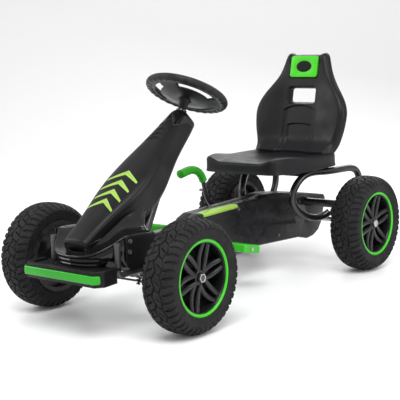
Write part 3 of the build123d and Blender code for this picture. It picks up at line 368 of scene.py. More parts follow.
class Surface:
    """Collects several surfaces, in millimetres, into one mesh."""

    def __init__(self):
        self.verts = []
        self.faces = []

    def add(self, verts, faces):
        start = len(self.verts)
        self.verts.extend(np.asarray(verts, float).tolist())
        self.faces.extend(tuple(start + i for i in face) for face in faces)

    def grid(self, points, wrap_rows=False, wrap_cols=False):
        """A grid of points shaped (rows, cols, 3) joined by quads."""
        rows, cols = points.shape[:2]
        faces = []
        for r in range(rows if wrap_rows else rows - 1):
            for c in range(cols if wrap_cols else cols - 1):
                r2, c2 = (r + 1) % rows, (c + 1) % cols
                faces.append((r * cols + c, r * cols + c2, r2 * cols + c2, r2 * cols + c))
        self.add(points.reshape(-1, 3), faces)

    def loft(self, rings):
        """Closed rings joined one to the next, with both ends closed."""
        rings = np.asarray(rings, float)
        count = rings.shape[1]
        start = len(self.verts)
        self.grid(rings, wrap_cols=True)
        self.faces.append(tuple(range(start + count - 1, start - 1, -1)))
        last = start + (len(rings) - 1) * count
        self.faces.append(tuple(range(last, last + count)))

    def lathe(self, profile, segments):
        """A closed profile of (x, radius) points turned about the X axis."""
        profile = np.asarray(profile, float)
        turn = turns(segments)[:, None]
        x = np.broadcast_to(profile[:, 0], (segments, len(profile)))
        y = profile[:, 1] * np.cos(turn)
        z = profile[:, 1] * np.sin(turn)
        self.grid(np.stack([x, y, z], axis=2), wrap_rows=True, wrap_cols=True)

    def tube(self, path, radii, segments=20, flat=1.0):
        """A round or flattened tube along a path, with rounded ends."""
        path = np.asarray(path, float)
        radii = np.broadcast_to(np.asarray(radii, float), (len(path),))
        tangent = np.gradient(path, axis=0)
        tangent /= np.linalg.norm(tangent, axis=1)[:, None]
        side = np.cross(tangent[0], (0.0, 0.0, 1.0))
        if np.linalg.norm(side) < 0.1:
            side = np.cross(tangent[0], (1.0, 0.0, 0.0))
        turn = turns(segments)[:, None]
        outwards = {0: -1, len(path) - 1: 1}
        rings = []
        for i, place in enumerate(path):
            side = side - tangent[i] * np.dot(side, tangent[i])
            side /= np.linalg.norm(side)
            up = np.cross(tangent[i], side)
            ring = np.cos(turn) * side + flat * np.sin(turn) * up
            out = outwards.get(i, 0)
            end = [place + radii[i] * (scale * ring + out * push * tangent[i])
                   for scale, push in TUBE_END if out]
            body = place + radii[i] * ring
            rings.extend([*end, body] if i == 0 else [body, *end[::-1]])
        self.loft(rings)

    def piece(self, name, look, *nodes, sharp=35, body=None, slot=None):
        """Makes the mesh object. It rides on its CAD node's body and stands for the nodes."""
        mesh = bpy.data.meshes.new(name)
        mesh.from_pydata([tuple(v) for v in np.asarray(self.verts) * MM], [], self.faces)
        tidy = bmesh.new()
        tidy.from_mesh(mesh)
        bmesh.ops.remove_doubles(tidy, verts=tidy.verts, dist=MERGE)
        bmesh.ops.dissolve_degenerate(tidy, edges=tidy.edges, dist=SLIVER)
        bmesh.ops.recalc_face_normals(tidy, faces=tidy.faces)
        tidy.to_mesh(mesh)
        tidy.free()
        mesh.shade_smooth()
        mesh.set_sharp_from_angle(angle=math.radians(sharp))
        obj = new_object(name, mesh)
        mesh.materials.append(MATERIALS[look])
        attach(obj, body or NODES[nodes[0]]["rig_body"])
        if nodes:
            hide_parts(*nodes)
        return obj


# -------------------------------- wheels

TYRE_LOW, TYRE_HIGH = box_mm("tyre_front_left")
WHEEL_R = (TYRE_HIGH[2] - TYRE_LOW[2]) / 2
HALF_W = (TYRE_HIGH[0] - TYRE_LOW[0]) / 2
RING_LOW, RING_HIGH = box_mm("ring_front_left")
BEAD_R = (RING_HIGH[2] - RING_LOW[2]) / 2
WHEEL_X = (TYRE_LOW[0] + TYRE_HIGH[0]) / 2
RING_IN = RING_LOW[0] - WHEEL_X
RING_OUT = RING_HIGH[0] - WHEEL_X
RING_WIDE = 9.0
RIM_FACE = RING_OUT - 4.5
PITCHES = 22
TREAD_CUT = 5.0
ZIGZAG = 5.0
SIDE_GROOVE = (22.0, 3.5)  # distance from the middle, swing
SHOULDER_SLOT = (26.0, 39.0, 13.0)  # inner end, middle, half length
SHORT_CUT = (5.0, 21.0)  # inner and outer end
TYRE_STEPS = 560
WALL_RIB = 5.0
SPOKE_PAIRS = 6
SPOKE_FOOT = 15.0
SPOKE_DEEP = 6.0
SPOKE_TWIST = 0.12
CORNERS = ("front_left", "front_right", "rear_left", "rear_right")


def tread(x, turn):
    """Depth of the tread pattern, 0 to 1, at a place across and around the tyre."""
    across = np.abs(x)
    side = np.where(x > 0, 1.0, -1.0)
    pitch = PITCHES * turn / TAU
    middle = 1 - smooth(1.4, 2.8, np.abs(x - ZIGZAG * triangle(pitch)))
    ring_line = SIDE_GROOVE[0] + SIDE_GROOVE[1] * triangle(pitch + 0.25 * side)
    ring = 0.8 * (1 - smooth(1.2, 2.4, np.abs(across - ring_line)))
    shoulder = (2 * pitch + 0.25 * side + 0.012 * (across - 36) + 0.5) % 1 - 0.5
    start, centre, reach = SHOULDER_SLOT
    half = 0.2 * np.sqrt(np.clip(1 - ((across - centre) / reach) ** 2, 0, 1)) + 0.001
    slots = 1 - smooth(0.7 * half, 1.25 * half, np.abs(shoulder))
    slots = np.where(across > start, slots, 0)
    short = (2 * pitch + 0.25 * side - 0.03 * (across - 14) + 0.8) % 1 - 0.5
    centre, reach = sum(SHORT_CUT) / 2, (SHORT_CUT[1] - SHORT_CUT[0]) / 2
    half = 0.09 * np.sqrt(np.clip(1 - ((across - centre) / reach) ** 2, 0, 1)) + 0.001
    cuts = 0.8 * (1 - smooth(0.6 * half, 1.3 * half, np.abs(short)))
    cuts = np.where((across > SHORT_CUT[0]) & (across < SHORT_CUT[1]), cuts, 0)
    return np.maximum.reduce([middle, ring, slots, cuts])


def tyre_surface():
    """A chunky tyre about the X axis: sidewalls, shoulders and a cut tread."""
    half = curve_through([
        (0, WHEEL_R), (0.42 * HALF_W, 0.99 * WHEEL_R), (0.68 * HALF_W, 0.966 * WHEEL_R),
        (0.87 * HALF_W, 0.925 * WHEEL_R), (0.965 * HALF_W, 0.885 * WHEEL_R),
        (0.99 * HALF_W, 0.866 * WHEEL_R), (0.95 * HALF_W, 0.853 * WHEEL_R),
        (0.945 * HALF_W, 0.8 * WHEEL_R), (0.925 * HALF_W, 0.73 * WHEEL_R),
        (0.9 * HALF_W, BEAD_R),
    ], 60)
    profile = evenly(np.vstack([half[::-1] * (-1, 1), half[1:]]), 92)
    turn = turns(TYRE_STEPS)[:, None]
    x = np.broadcast_to(profile[:, 0], (len(turn), len(profile)))
    reach = smooth(0.8 * WHEEL_R, 0.86 * WHEEL_R, profile[:, 1])
    share = profile[:, 1] / WHEEL_R
    ribs = 0.25 * np.cos(profile[:, 1] * TAU / WALL_RIB)
    ribs = ribs * smooth(0.69, 0.72, share) * (1 - smooth(0.76, 0.8, share))
    radius = profile[:, 1] - TREAD_CUT * reach * tread(x, turn)
    x = x + np.sign(x) * ribs
    tyre = Surface()
    points = np.stack([x, radius * np.cos(turn), radius * np.sin(turn)], axis=2)
    tyre.grid(points, wrap_rows=True, wrap_cols=True)
    return tyre


def spoke(rim, turn, lean):
    """One blade of a spoke pair, bowed sideways and inwards."""
    around = turns(16)
    c, s = np.cos(around), np.sin(around)
    rings = []
    for share in np.linspace(0, 1, 16):
        radius = SPOKE_FOOT + (BEAD_R - 8 - SPOKE_FOOT) * share
        apart = 9.5 + 3.5 * math.sin(math.pi * share)
        angle = turn + SPOKE_TWIST * share + lean * apart / radius
        wide = 6.0 + 1.6 * math.sin(math.pi * share) + 1.2 * share**3
        height = RING_IN - 9 + 3 * share - 5 * math.sin(math.pi * share)
        across = wide * np.sign(c) * np.abs(c) ** 0.8
        depth = height + SPOKE_DEEP * np.sign(s) * np.abs(s) ** 0.75
        radial = np.array((0, math.cos(angle), math.sin(angle)))
        tangent = np.array((0, -math.sin(angle), math.cos(angle)))
        rings.append(radius * radial + across[:, None] * tangent
                     + depth[:, None] * np.array((1.0, 0, 0)))
    rim.loft(rings)


def rim_surface():
    """Barrel, inner web, hub and six pairs of bowed spokes, about the X axis."""
    web_out, web_in = -HALF_W + 27, -HALF_W + 22
    hub_top = RING_IN - 3
    rim = Surface()
    rim.lathe([
        (-HALF_W + 1, BEAD_R - 0.2), (RIM_FACE, BEAD_R - 0.2), (RIM_FACE, BEAD_R - 10.5),
        (RIM_FACE - 2, BEAD_R - 12), (RING_IN - 6, BEAD_R - 12.5),
        (web_out + 6, BEAD_R - 9), (web_out, BEAD_R - 14),
        (web_out, 26), (web_out + 4, 22), (hub_top - 7, 20), (hub_top - 2, 19),
        (hub_top, 16.5), (hub_top - 1.5, 14.5), (hub_top - 1.5, 9), (-HALF_W + 6, 9),
        (-HALF_W + 6, 21), (web_in, 22), (web_in, BEAD_R - 10), (-HALF_W + 9, BEAD_R - 8),
        (-HALF_W + 8, BEAD_R - 12), (-HALF_W + 1, BEAD_R - 12),
    ], 96)
    for pair in range(SPOKE_PAIRS):
        for lean in (-1, 1):
            spoke(rim, TAU * pair / SPOKE_PAIRS + SPOKE_TWIST, lean)
    return rim


def ring_surface():
    """The bright ring between rim and tyre, with a rounded face."""
    inner = BEAD_R - RING_WIDE
    ring = Surface()
    ring.lathe([
        (RIM_FACE + 0.1, inner + 1), (RIM_FACE + 0.1, BEAD_R), (RING_OUT - 2.5, BEAD_R),
        (RING_OUT - 0.8, BEAD_R - 1), (RING_OUT, BEAD_R - 3), (RING_OUT, inner + 4.5),
        (RING_OUT - 1, inner + 2), (RING_OUT - 3, inner + 0.4),
    ], 144)
    return ring


def build_wheels():
    """The same tyre, rim and ring at all four corners, mirrored on the right."""
    parts = (("tyre", tyre_surface(), "tyre_rubber"), ("rim", rim_surface(), "rim_black"),
             ("ring", ring_surface(), "green_ring"))
    for corner in CORNERS:
        low, high = box_mm(f"tyre_{corner}")
        centre = (low + high) / 2
        side = math.copysign(1, centre[0])
        for kind, surface, look in parts:
            placed = Surface()
            placed.add(np.asarray(surface.verts) * (side, 1, 1) + centre, surface.faces)
            placed.piece(f"{kind}_{corner}_shape", look, f"{kind}_{corner}", sharp=40)


build_wheels()

# -------------------------------- column frame

COLUMN_TOP = joint_mm("steer")
COLUMN_AXIS = np.array(JOINTS["steer"]["axis"], float)
COLUMN_BACK = np.array((0.0, COLUMN_AXIS[2], -COLUMN_AXIS[1]))
ACROSS = np.array((1.0, 0.0, 0.0))


def on_column(across, back, along):
    """A place given across, behind and along the steering column, from its top."""
    return COLUMN_TOP + across * ACROSS + back * COLUMN_BACK + along * COLUMN_AXIS


# -------------------------------- fairing

NOSE = np.array((0.0, -546.0, 234.0))
NOSE_SLOPE = math.radians(34.6)
UP_LINE = np.array((0.0, math.cos(NOSE_SLOPE), math.sin(NOSE_SLOPE)))
INTO = np.array((0.0, math.sin(NOSE_SLOPE), -math.cos(NOSE_SLOPE)))
TIP = 508.0
STATIONS = (0, 31, 72, 134, 186, 245, 310, 378, 435, 483, TIP)  # up the front line
FRONT_HALF = (40, 42, 46, 57, 68, 72, 64, 48, 37.5, 29, 25)
REAR_HALF = (36, 38, 40, 46, 50, 47, 41, 33, 28, 25, 23)
DEPTHS = (20, 32, 54, 84, 102, 113, 111, 96, 82, 72, 66)
TIP_TILT = 26.0
NOSE_ROLL = 9.0
FRONT_SHARE = 0.4
FRONT_POINTS = 22
SQUARENESS = 2.9
FLANGE_START = 0.8
FLANGE_TURN = 7.0


def fairing_section(s):
    """Half a section across the front line: (across, depth) from the middle to the rear edge."""
    front = float(table_value(STATIONS, FRONT_HALF, s))
    rear = float(table_value(STATIONS, REAR_HALF, s))
    depth = float(table_value(STATIONS, DEPTHS, s))
    angle = np.linspace(math.pi / 2, 0, FRONT_POINTS)
    power = 2 / SQUARENESS
    across = front * np.cos(angle) ** power
    inward = FRONT_SHARE * front * (1 - np.sin(angle) ** power)
    half = np.stack([across, inward], axis=1)
    start = half[-1]
    crease = np.array(((front + rear) / 2, max(FLANGE_START * depth, start[1] + 4)))
    side = [start + (crease - start) * t for t in np.linspace(0.08, 1, 12)]
    end = np.array((rear - FLANGE_TURN, max(depth, crease[1] + 3)))
    flange = [crease + (end - crease) * t for t in np.linspace(0.06, 1, 6)]
    return np.vstack([half, side, flange])


def fairing_place(s, across, inward, depth):
    """A section point in the kart's frame; sections lean to lie across the column at the tip."""
    lean = TIP_TILT * float(smooth(400, TIP, s)) * inward / depth
    return NOSE + across * ACROSS + (s + lean) * UP_LINE + inward * INTO


def fairing_row(s, push=0.0, grow=0.0):
    """One full section from left rear edge to right rear edge."""
    half = fairing_section(s)
    depth = half[-1, 1]
    full = np.vstack([half[::-1] * (-1, 1), half[1:]])
    scale = 1 + grow / half[:, 0].max()
    return np.array([fairing_place(s, x * scale, d + push, depth) for x, d in full])


def fairing_skin(u, s, lift):
    """A place above the fairing: u is the distance round the section from the middle."""
    def at(u_at, s_at):
        half = fairing_section(s_at)
        lengths = lengths_along(half)
        across = math.copysign(np.interp(abs(u_at), lengths, half[:, 0]), u_at)
        inward = np.interp(abs(u_at), lengths, half[:, 1])
        return fairing_place(s_at, across, inward, half[-1, 1])

    here = at(u, s)
    along = at(u, s + 1) - at(u, s - 1)
    round_it = at(u + 1, s) - at(u - 1, s)
    normal = np.cross(round_it, along)
    normal /= np.linalg.norm(normal)
    if np.dot(normal, INTO) > 0.3:
        normal = -normal
    return here + lift * normal


def build_fairing():
    """The fairing's skin from its closed, rolled nose up to the cap."""
    lip = fairing_row(0, 18, -2)
    chord = lip[0] + np.linspace(0, 1, len(lip))[:, None] * (lip[-1] - lip[0])
    rows = [chord, lip + 0.5 * (chord - lip), lip, fairing_row(0, 13, -1)]
    for angle in np.linspace(math.pi / 2, 0, 7):
        rows.append(fairing_row(NOSE_ROLL * (1 - math.sin(angle)),
                                NOSE_ROLL * (1 - math.cos(angle))))
    rows.extend(fairing_row(s) for s in np.linspace(NOSE_ROLL + 5, TIP, 84))
    skin = Surface()
    skin.grid(np.array(rows))
    obj = skin.piece("fairing_skin", "black_plastic", "fairing", sharp=42)
    thicken(obj, 3, use_even_offset=False)
    bevel(obj, 1.0, 2, 55)


CAP_TOP = -67.0
CAP_DOME = 11.0
CAP_HOLE_R = 15.0
CAP_REACH = 20.0
CAP_POINT = 34.0
CAP_LEAST = 14.0
STICKER_LIFT = 0.5
STICKER_THICK = 0.35


def build_cap():
    """Glossy cap round the column: wraps the tip down to a shallow V and domes over it."""
    cap = Surface()
    half = fairing_section(TIP)
    lengths = lengths_along(half)
    cols = np.concatenate([-lengths[::-1], lengths[1:]])
    corner = 0.85 * lengths[FRONT_POINTS - 1]
    rows = []
    for share in np.linspace(0, 1, 12):
        row = []
        for u in cols:
            off_corner = abs(abs(u) - corner) / corner
            reach = max(CAP_REACH + CAP_POINT * (1 - off_corner), CAP_LEAST)
            row.append(fairing_skin(u, TIP - reach * (1 - share), 0.9))
        rows.append(row)
    rows = np.array(rows)
    left, right = rows[-1, 0], rows[-1, -1]
    back = [right + (left - right) * t for t in np.linspace(0, 1, 14)[1:-1]]
    loop = np.vstack([rows[-1], back])
    centre = on_column(0, 4, CAP_TOP)
    flat = loop - centre
    flat -= np.outer(flat @ COLUMN_AXIS, COLUMN_AXIS)
    length = np.linalg.norm(flat, axis=1)[:, None]
    circle = on_column(0, 0, CAP_TOP) + CAP_HOLE_R * flat / length
    rings = [loop]
    for share in np.linspace(0.08, 1, 9):
        rise = CAP_DOME * math.sin(share * math.pi / 2)
        rings.append(loop + (circle - loop) * share + rise * COLUMN_AXIS)
    rings.append(rings[-1] + 5 * COLUMN_AXIS)
    rings.append(rings[-1] - 1.6 * flat / length)
    rings.append(rings[-1] - 9 * COLUMN_AXIS)
    cap.grid(np.array(rings), wrap_cols=True)
    cap.grid(rows)
    obj = cap.piece("column_cap", "gloss_black", "column_surround", sharp=50)
    thicken(obj, 0.8)


def sticker(name, rows):
    """A thin lime sticker on the fairing from a grid of (round, along) places."""
    sheet = Surface()
    sheet.grid(np.array([[fairing_skin(u, s, STICKER_LIFT) for u, s in row] for row in rows]))
    obj = sheet.piece(name, "lime_decal", body="chassis", slot="green_plastic")
    thicken(obj, STICKER_THICK)


CHEVRON_FIRST = 150.0
CHEVRON_STEP = 36.0
CHEVRON_COUNT = 4
CHEVRON_HALF = 44.0
CHEVRON_FALL = 30.0
CHEVRON_WIDE = 17.0
LOUVRES = ((402, 30), (421, 27), (440, 24))  # place along the fairing, half width


def chevron(apex, half):
    """A band across the front that comes to a point in the middle and thins at its ends."""
    rows = []
    for share in np.linspace(-1, 1, 41):
        thick = CHEVRON_WIDE * (1 - 0.6 * abs(share)) / 2
        rows.append([(half * share, apex - CHEVRON_FALL * abs(share) + w)
                     for w in np.linspace(-thick, thick, 4)])
    return rows


def build_chevrons():
    """Plain chevrons up the front of the fairing, with no number or lettering."""
    for index in range(CHEVRON_COUNT):
        apex = CHEVRON_FIRST + CHEVRON_STEP * index
        sticker(f"chevron_{index}", chevron(apex, CHEVRON_HALF + 3 * index))


def build_louvres():
    """Three crescent louvres below the cap: a near-black strip of painted shade for each slot,
    under a raised brow.
    """
    slots, brows = Surface(), Surface()
    for s, reach in LOUVRES:
        rows, path, radii = [], [], []
        for share in np.linspace(-1, 1, 31):
            fall = 13 * abs(share) ** 2.2
            half = 0.4 + 3.6 * (1 - abs(share) ** 2.5)
            rows.append([fairing_skin(reach * share, s - fall + w, 0.45)
                         for w in np.linspace(-half, half, 4)])
            path.append(fairing_skin(reach * share, s - fall + half + 0.6, 0.3))
            radii.append(0.5 + 1.5 * (1 - abs(share) ** 2.5))
        # each slot's dark is painted shade: a near-black sheet lifted just over the skin, not a
        # cut
        slots.grid(np.array(rows))
        brows.tube(path, radii, 10)
    made = slots.piece("louvre_painted_shade", "shadow_black", body="chassis", slot="black_plastic")
    thicken(made, 0.4)
    brows.piece("louvre_brows", "black_plastic", body="chassis", slot="black_plastic")


build_fairing()
build_cap()
build_chevrons()
build_louvres()

# -------------------------------- lower cowl

RIM_LINE = [
    (0, -563, 198), (40, -558, 200), (72, -540, 207), (98, -508, 224), (114, -486, 239),
    (122, -472, 245), (124, -430, 243), (124, -385, 240), (118, -372, 239), (60, -368, 239),
    (0, -366, 239),
]
HOOD_LINE = [
    (0, -536, 206), (28, -529, 210), (42, -505, 224), (52, -468, 250), (58, -430, 273),
    (61, -400, 288), (62, -370, 296), (60, -335, 300), (52, -316, 298), (28, -308, 294),
    (0, -306, 292),
]
COWL_MIDDLE = (0.0, -450.0, 0.0)
COWL_LOW_Z = 164.0
RIB_PITCH = 11.0
RIB_DEEP = 1.3
RIM_ROLL = 3.2
RIM_STEP = 7.0
HOOD_RISE = 2.4


def closed_loop(half_points):
    """A closed loop from its +X half, evenly spaced."""
    return mirrored(evenly(curve_through(half_points, 160), 120))


def build_cowl():
    """The tub below the fairing: ribbed bow, rolled rim, glossy cheeks and a rising hood."""
    rim = closed_loop(RIM_LINE)
    hood = closed_loop(HOOD_LINE)
    out = rim - COWL_MIDDLE
    out[:, 2] = 0
    out /= np.linalg.norm(out, axis=1)[:, None]
    bow = smooth(-455, -500, rim[:, 1]) * (1 - smooth(66, 84, np.abs(rim[:, 0])))
    cheek = smooth(-450, -490, rim[:, 1]) * smooth(70, 88, np.abs(rim[:, 0]))
    rings = []
    for share in np.linspace(0, 1, 40):
        level = COWL_LOW_Z + (rim[:, 2] - 5 - COWL_LOW_Z) * share
        ribs = RIB_DEEP * np.cos(TAU * (level - COWL_LOW_Z) / RIB_PITCH) * bow
        inset = 5 + 8 * (1 - share) * (bow + cheek) + 10 * (1 - share) ** 2 * cheek
        bulge = 7 * np.sin(math.pi * share) * cheek
        ring = rim + out * (ribs - inset + bulge)[:, None]
        ring[:, 2] = level
        rings.append(ring)
    for angle in np.linspace(-0.5, 0.5, 9) * math.pi:
        ring = rim + out * RIM_ROLL * (math.cos(angle) - 1)
        ring[:, 2] = rim[:, 2] + RIM_ROLL * math.sin(angle)
        rings.append(ring)
    step = rim - RIM_STEP * out
    step[:, 2] = rim[:, 2] + 2.0
    rings.append(step)
    for share in np.linspace(0.05, 1, 22):
        ring = step + (hood - step) * share
        ring[:, 2] = step[:, 2] + (hood[:, 2] - step[:, 2]) * share**HOOD_RISE
        rings.append(ring)
    cowl = Surface()
    cowl.grid(np.array(rings), wrap_cols=True)
    obj = cowl.piece("lower_cowl_skin", "gloss_black", "lower_cowl", sharp=48)
    thicken(obj, 2.5)


build_cowl()

# -------------------------------- seat

SEAT_BACK_FOOT = np.array((0.0, 454.0, 352.0))
SEAT_BACK_RAKE = math.tan(math.radians(13))
BACK_EDGE = [  # x and z
    (0, 657), (42, 657), (50, 657.5), (56, 660.5), (63, 662.5), (70, 660), (77, 650), (84, 628),
    (92, 606), (104, 584), (122, 560), (142, 535), (158, 510), (167, 484), (168, 458),
    (164, 425), (156, 392), (149, 366), (144, 350), (138, 343), (60, 341), (0, 341),
]
WINDOW_X = 47.0
WINDOW_Z = (507.0, 551.0)
WINDOW_EDGE = 13.0
BACK_ROLL = 18.0
BACK_WALL = 6.0
BACK_FLANGE = 8.0


def rounded_box(half_x, low, high, radius, angles):
    """Places on a rounded box outline met by rays from its middle at the given angles."""
    middle, half_z = (low + high) / 2, (high - low) / 2
    out = []
    for angle in angles:
        dx, dz = math.cos(angle), math.sin(angle)
        reach = min(half_x / max(abs(dx), 1e-9), half_z / max(abs(dz), 1e-9))
        x, z = reach * dx, reach * dz
        cx = max(abs(x) - (half_x - radius), 0)
        cz = max(abs(z) - (half_z - radius), 0)
        if cx > 0 and cz > 0:
            scale = radius / math.hypot(cx, cz)
            if scale < 1:
                x = math.copysign(half_x - radius + cx * scale, x)
                z = math.copysign(half_z - radius + cz * scale, z)
        out.append((x, middle + z))
    return np.array(out)


def seat_back_y(x, z):
    """Depth of the backrest's front face: raked, wrapped at the sides, with its recesses."""
    across = np.abs(x)
    y = SEAT_BACK_FOOT[1] + SEAT_BACK_RAKE * (z - SEAT_BACK_FOOT[2])
    wrap = 12 * smooth(60, 165, across) * smooth(600, 520, z)
    headrest = smooth(54, 51, across) * smooth(583, 587, z)
    arch = 474 + 24 * np.sqrt(np.clip(1 - (x / 64) ** 2, 0, 1))
    panel = smooth(61, 57, across) * smooth(arch + 2, arch - 2, z)
    inner_arch = 432 + 9 * np.sqrt(np.clip(1 - (x / 51) ** 2, 0, 1))
    inner = smooth(47, 43, across) * smooth(inner_arch + 2, inner_arch - 2, z)
    sweep_forward = 36 * smooth(415, 345, z) ** 2 * smooth(150, 115, across)
    dome = 3 * smooth(0, 60, 60 - np.abs(across - 100)) * smooth(400, 470, z) * smooth(600, 540, z)
    return y - wrap + 4 * headrest + 6 * panel + 5 * inner - sweep_forward - dome


def build_seat_back(seat):
    """The backrest: a sheet from the window out to the edge, rolled back into a flange."""
    edge = mirrored(curve_through(BACK_EDGE, 420))
    middle_z = sum(WINDOW_Z) / 2
    edge_angle = np.unwrap(np.arctan2(edge[:, 1] - middle_z, edge[:, 0]))
    order = np.argsort(edge_angle)
    angles = turns(300) + edge_angle.min()
    outer = np.stack([np.interp(angles, edge_angle[order], edge[order, i], period=TAU)
                      for i in range(2)], axis=1)
    normal = outward(outer, (0, middle_z))
    inset = outer - BACK_ROLL * normal
    box_wide = rounded_box(WINDOW_X + 8, WINDOW_Z[0] - 7, WINDOW_Z[1] + 10, 12, angles)
    box_slim = rounded_box(WINDOW_X, *WINDOW_Z, 7, angles)
    rings = []

    def ring(points, back):
        y = seat_back_y(points[:, 0], points[:, 1]) + back
        rings.append(np.stack([points[:, 0], y, points[:, 1]], axis=1))

    ring(box_slim - (box_slim - (0, middle_z)) * 0.02, 24)
    ring(box_slim, 22)
    ring(box_slim, 14)
    for share in np.linspace(0, 1, 7):
        place = box_slim + (box_wide - box_slim) * share
        ring(place, WINDOW_EDGE * (1 - math.sin(share * math.pi / 2)))
    for share in np.linspace(0.015, 1, 74):
        ring(box_wide + (inset - box_wide) * share, 0)
    for angle in np.linspace(0.15, 1, 8) * math.pi / 2:
        ring_out = inset + BACK_ROLL * math.sin(angle) * normal
        y = seat_back_y(inset[:, 0], inset[:, 1]) + BACK_ROLL * (1 - math.cos(angle))
        rings.append(np.stack([ring_out[:, 0], y, ring_out[:, 1]], axis=1))
    last = rings[-1]
    out = np.stack([normal[:, 0], np.zeros(len(normal)), normal[:, 1]], axis=1)
    for share in (0.35, 0.7, 1.0):
        rings.append(last + (0, BACK_FLANGE * share, 0) + out * 0.8 * share)
    rings.append(rings[-1] + (0, 1.2, 0) - out * 1.6)
    rings.append(rings[-1] - (0, 0.6, 0) - out * 2.2)
    rings.append(last + (0, 4, 0) - out * 4.5)
    ring(inset, BACK_WALL)
    for share in np.linspace(0.97, 0, 20):
        ring(box_wide + (inset - box_wide) * share, BACK_WALL + 9 * smooth(0.12, 0.0, share))
    seat.grid(np.array(rings), wrap_rows=True, wrap_cols=True)


SEAT_BASE_EDGE = [  # x and y
    (0, 146), (60, 146.5), (105, 149), (124, 156), (134, 174), (141, 205), (147, 250),
    (151, 310), (151, 380), (149, 435), (142, 466), (124, 480), (70, 484), (0, 484),
]
BASE_TOP = 356.0
BASE_ROLL = 9.0
BASE_MIDDLE_Y = 320.0
BASE_WALL = 4.0
DISH_DEPTH = 7.0
SKIRT_LOW = 316.0
SKIRT_FLARE = ((0.3, 0.0), (0.6, 0.2), (0.8, 0.6), (0.92, 1.6), (1.0, 2.0))


def build_seat_base(seat):
    """The seat pan: dished top, rolled edge, flared skirt and the hollow underneath."""
    edge = mirrored(evenly(curve_through(SEAT_BASE_EDGE, 200), 110))
    middle = np.array((0.0, BASE_MIDDLE_Y))
    normal = outward(edge, middle)
    inset = edge - BASE_ROLL * normal
    rings = []

    def ring(points, z):
        z = np.broadcast_to(z, (len(points),))
        rings.append(np.stack([points[:, 0], points[:, 1], z], axis=1))

    def top_z(points, share):
        dish = DISH_DEPTH * smooth(0.62, 0.93, share)
        fall = 4 * smooth(230, 150, points[:, 1])
        thighs = 2.5 * (1 - np.cos(points[:, 0] / 75 * math.pi)) * smooth(1, 0.7, share)
        thighs *= smooth(420, 300, points[:, 1])
        corners = 12 * smooth(70, 118, np.abs(points[:, 0])) * smooth(320, 190, points[:, 1])
        return BASE_TOP - DISH_DEPTH + dish - fall + corners + thighs

    for share in np.linspace(0.02, 1, 40):
        place = middle + (inset - middle) * share
        ring(place, top_z(place, share))
    edge_top = top_z(inset, 1.0)
    for angle in np.linspace(0.12, 1, 8) * math.pi / 2:
        ring(inset + BASE_ROLL * math.sin(angle) * normal,
             edge_top - BASE_ROLL * (1 - math.cos(angle)))
    low = SKIRT_LOW + 4 * smooth(260, 150, edge[:, 1])
    for share, flare in SKIRT_FLARE:
        ring(edge + flare * normal, edge_top - BASE_ROLL + (low - edge_top + BASE_ROLL) * share)
    ring(edge - 0.2 * normal, low - 1.2)
    ring(edge - 3.0 * normal, low)
    ring(edge - 4.0 * normal, low + 8)
    ring(edge - 5.0 * normal, edge_top - 9)
    for share in np.linspace(0.9, 0.02, 8):
        place = middle + (inset - middle) * share
        ring(place, top_z(place, share) - BASE_WALL)
    seat.loft(rings)


def build_seat():
    """The backrest and the pan, one moulding in the CAD."""
    back, base = Surface(), Surface()
    build_seat_back(back)
    build_seat_base(base)
    back.piece("seat_back", "seat_plastic", "seat_shell", sharp=50)
    base.piece("seat_pan", "seat_plastic", "seat_shell", sharp=50)


build_seat()

# -------------------------------- steering wheel

WHEEL_LOW, WHEEL_HIGH = box_mm("steering_wheel")
GRIP_R = 12.3
WHEEL_MAJOR = (WHEEL_HIGH[0] - WHEEL_LOW[0]) / 2 - GRIP_R
DISH = 18.0
SPOKE_TURNS = (30, 150, 270)
OPENING_R = (71.0, 90.5)
OPENING_EDGE = 19.0
PLATE_STEP = 3  # degrees
BOSS_PROFILE = (  # radius, place along the column
    (20, -17), (18.5, -22), (14.8, -26), (13.4, -30), (13.4, -43), (12.6, -45), (11.2, -45),
    (11.2, -20),
)


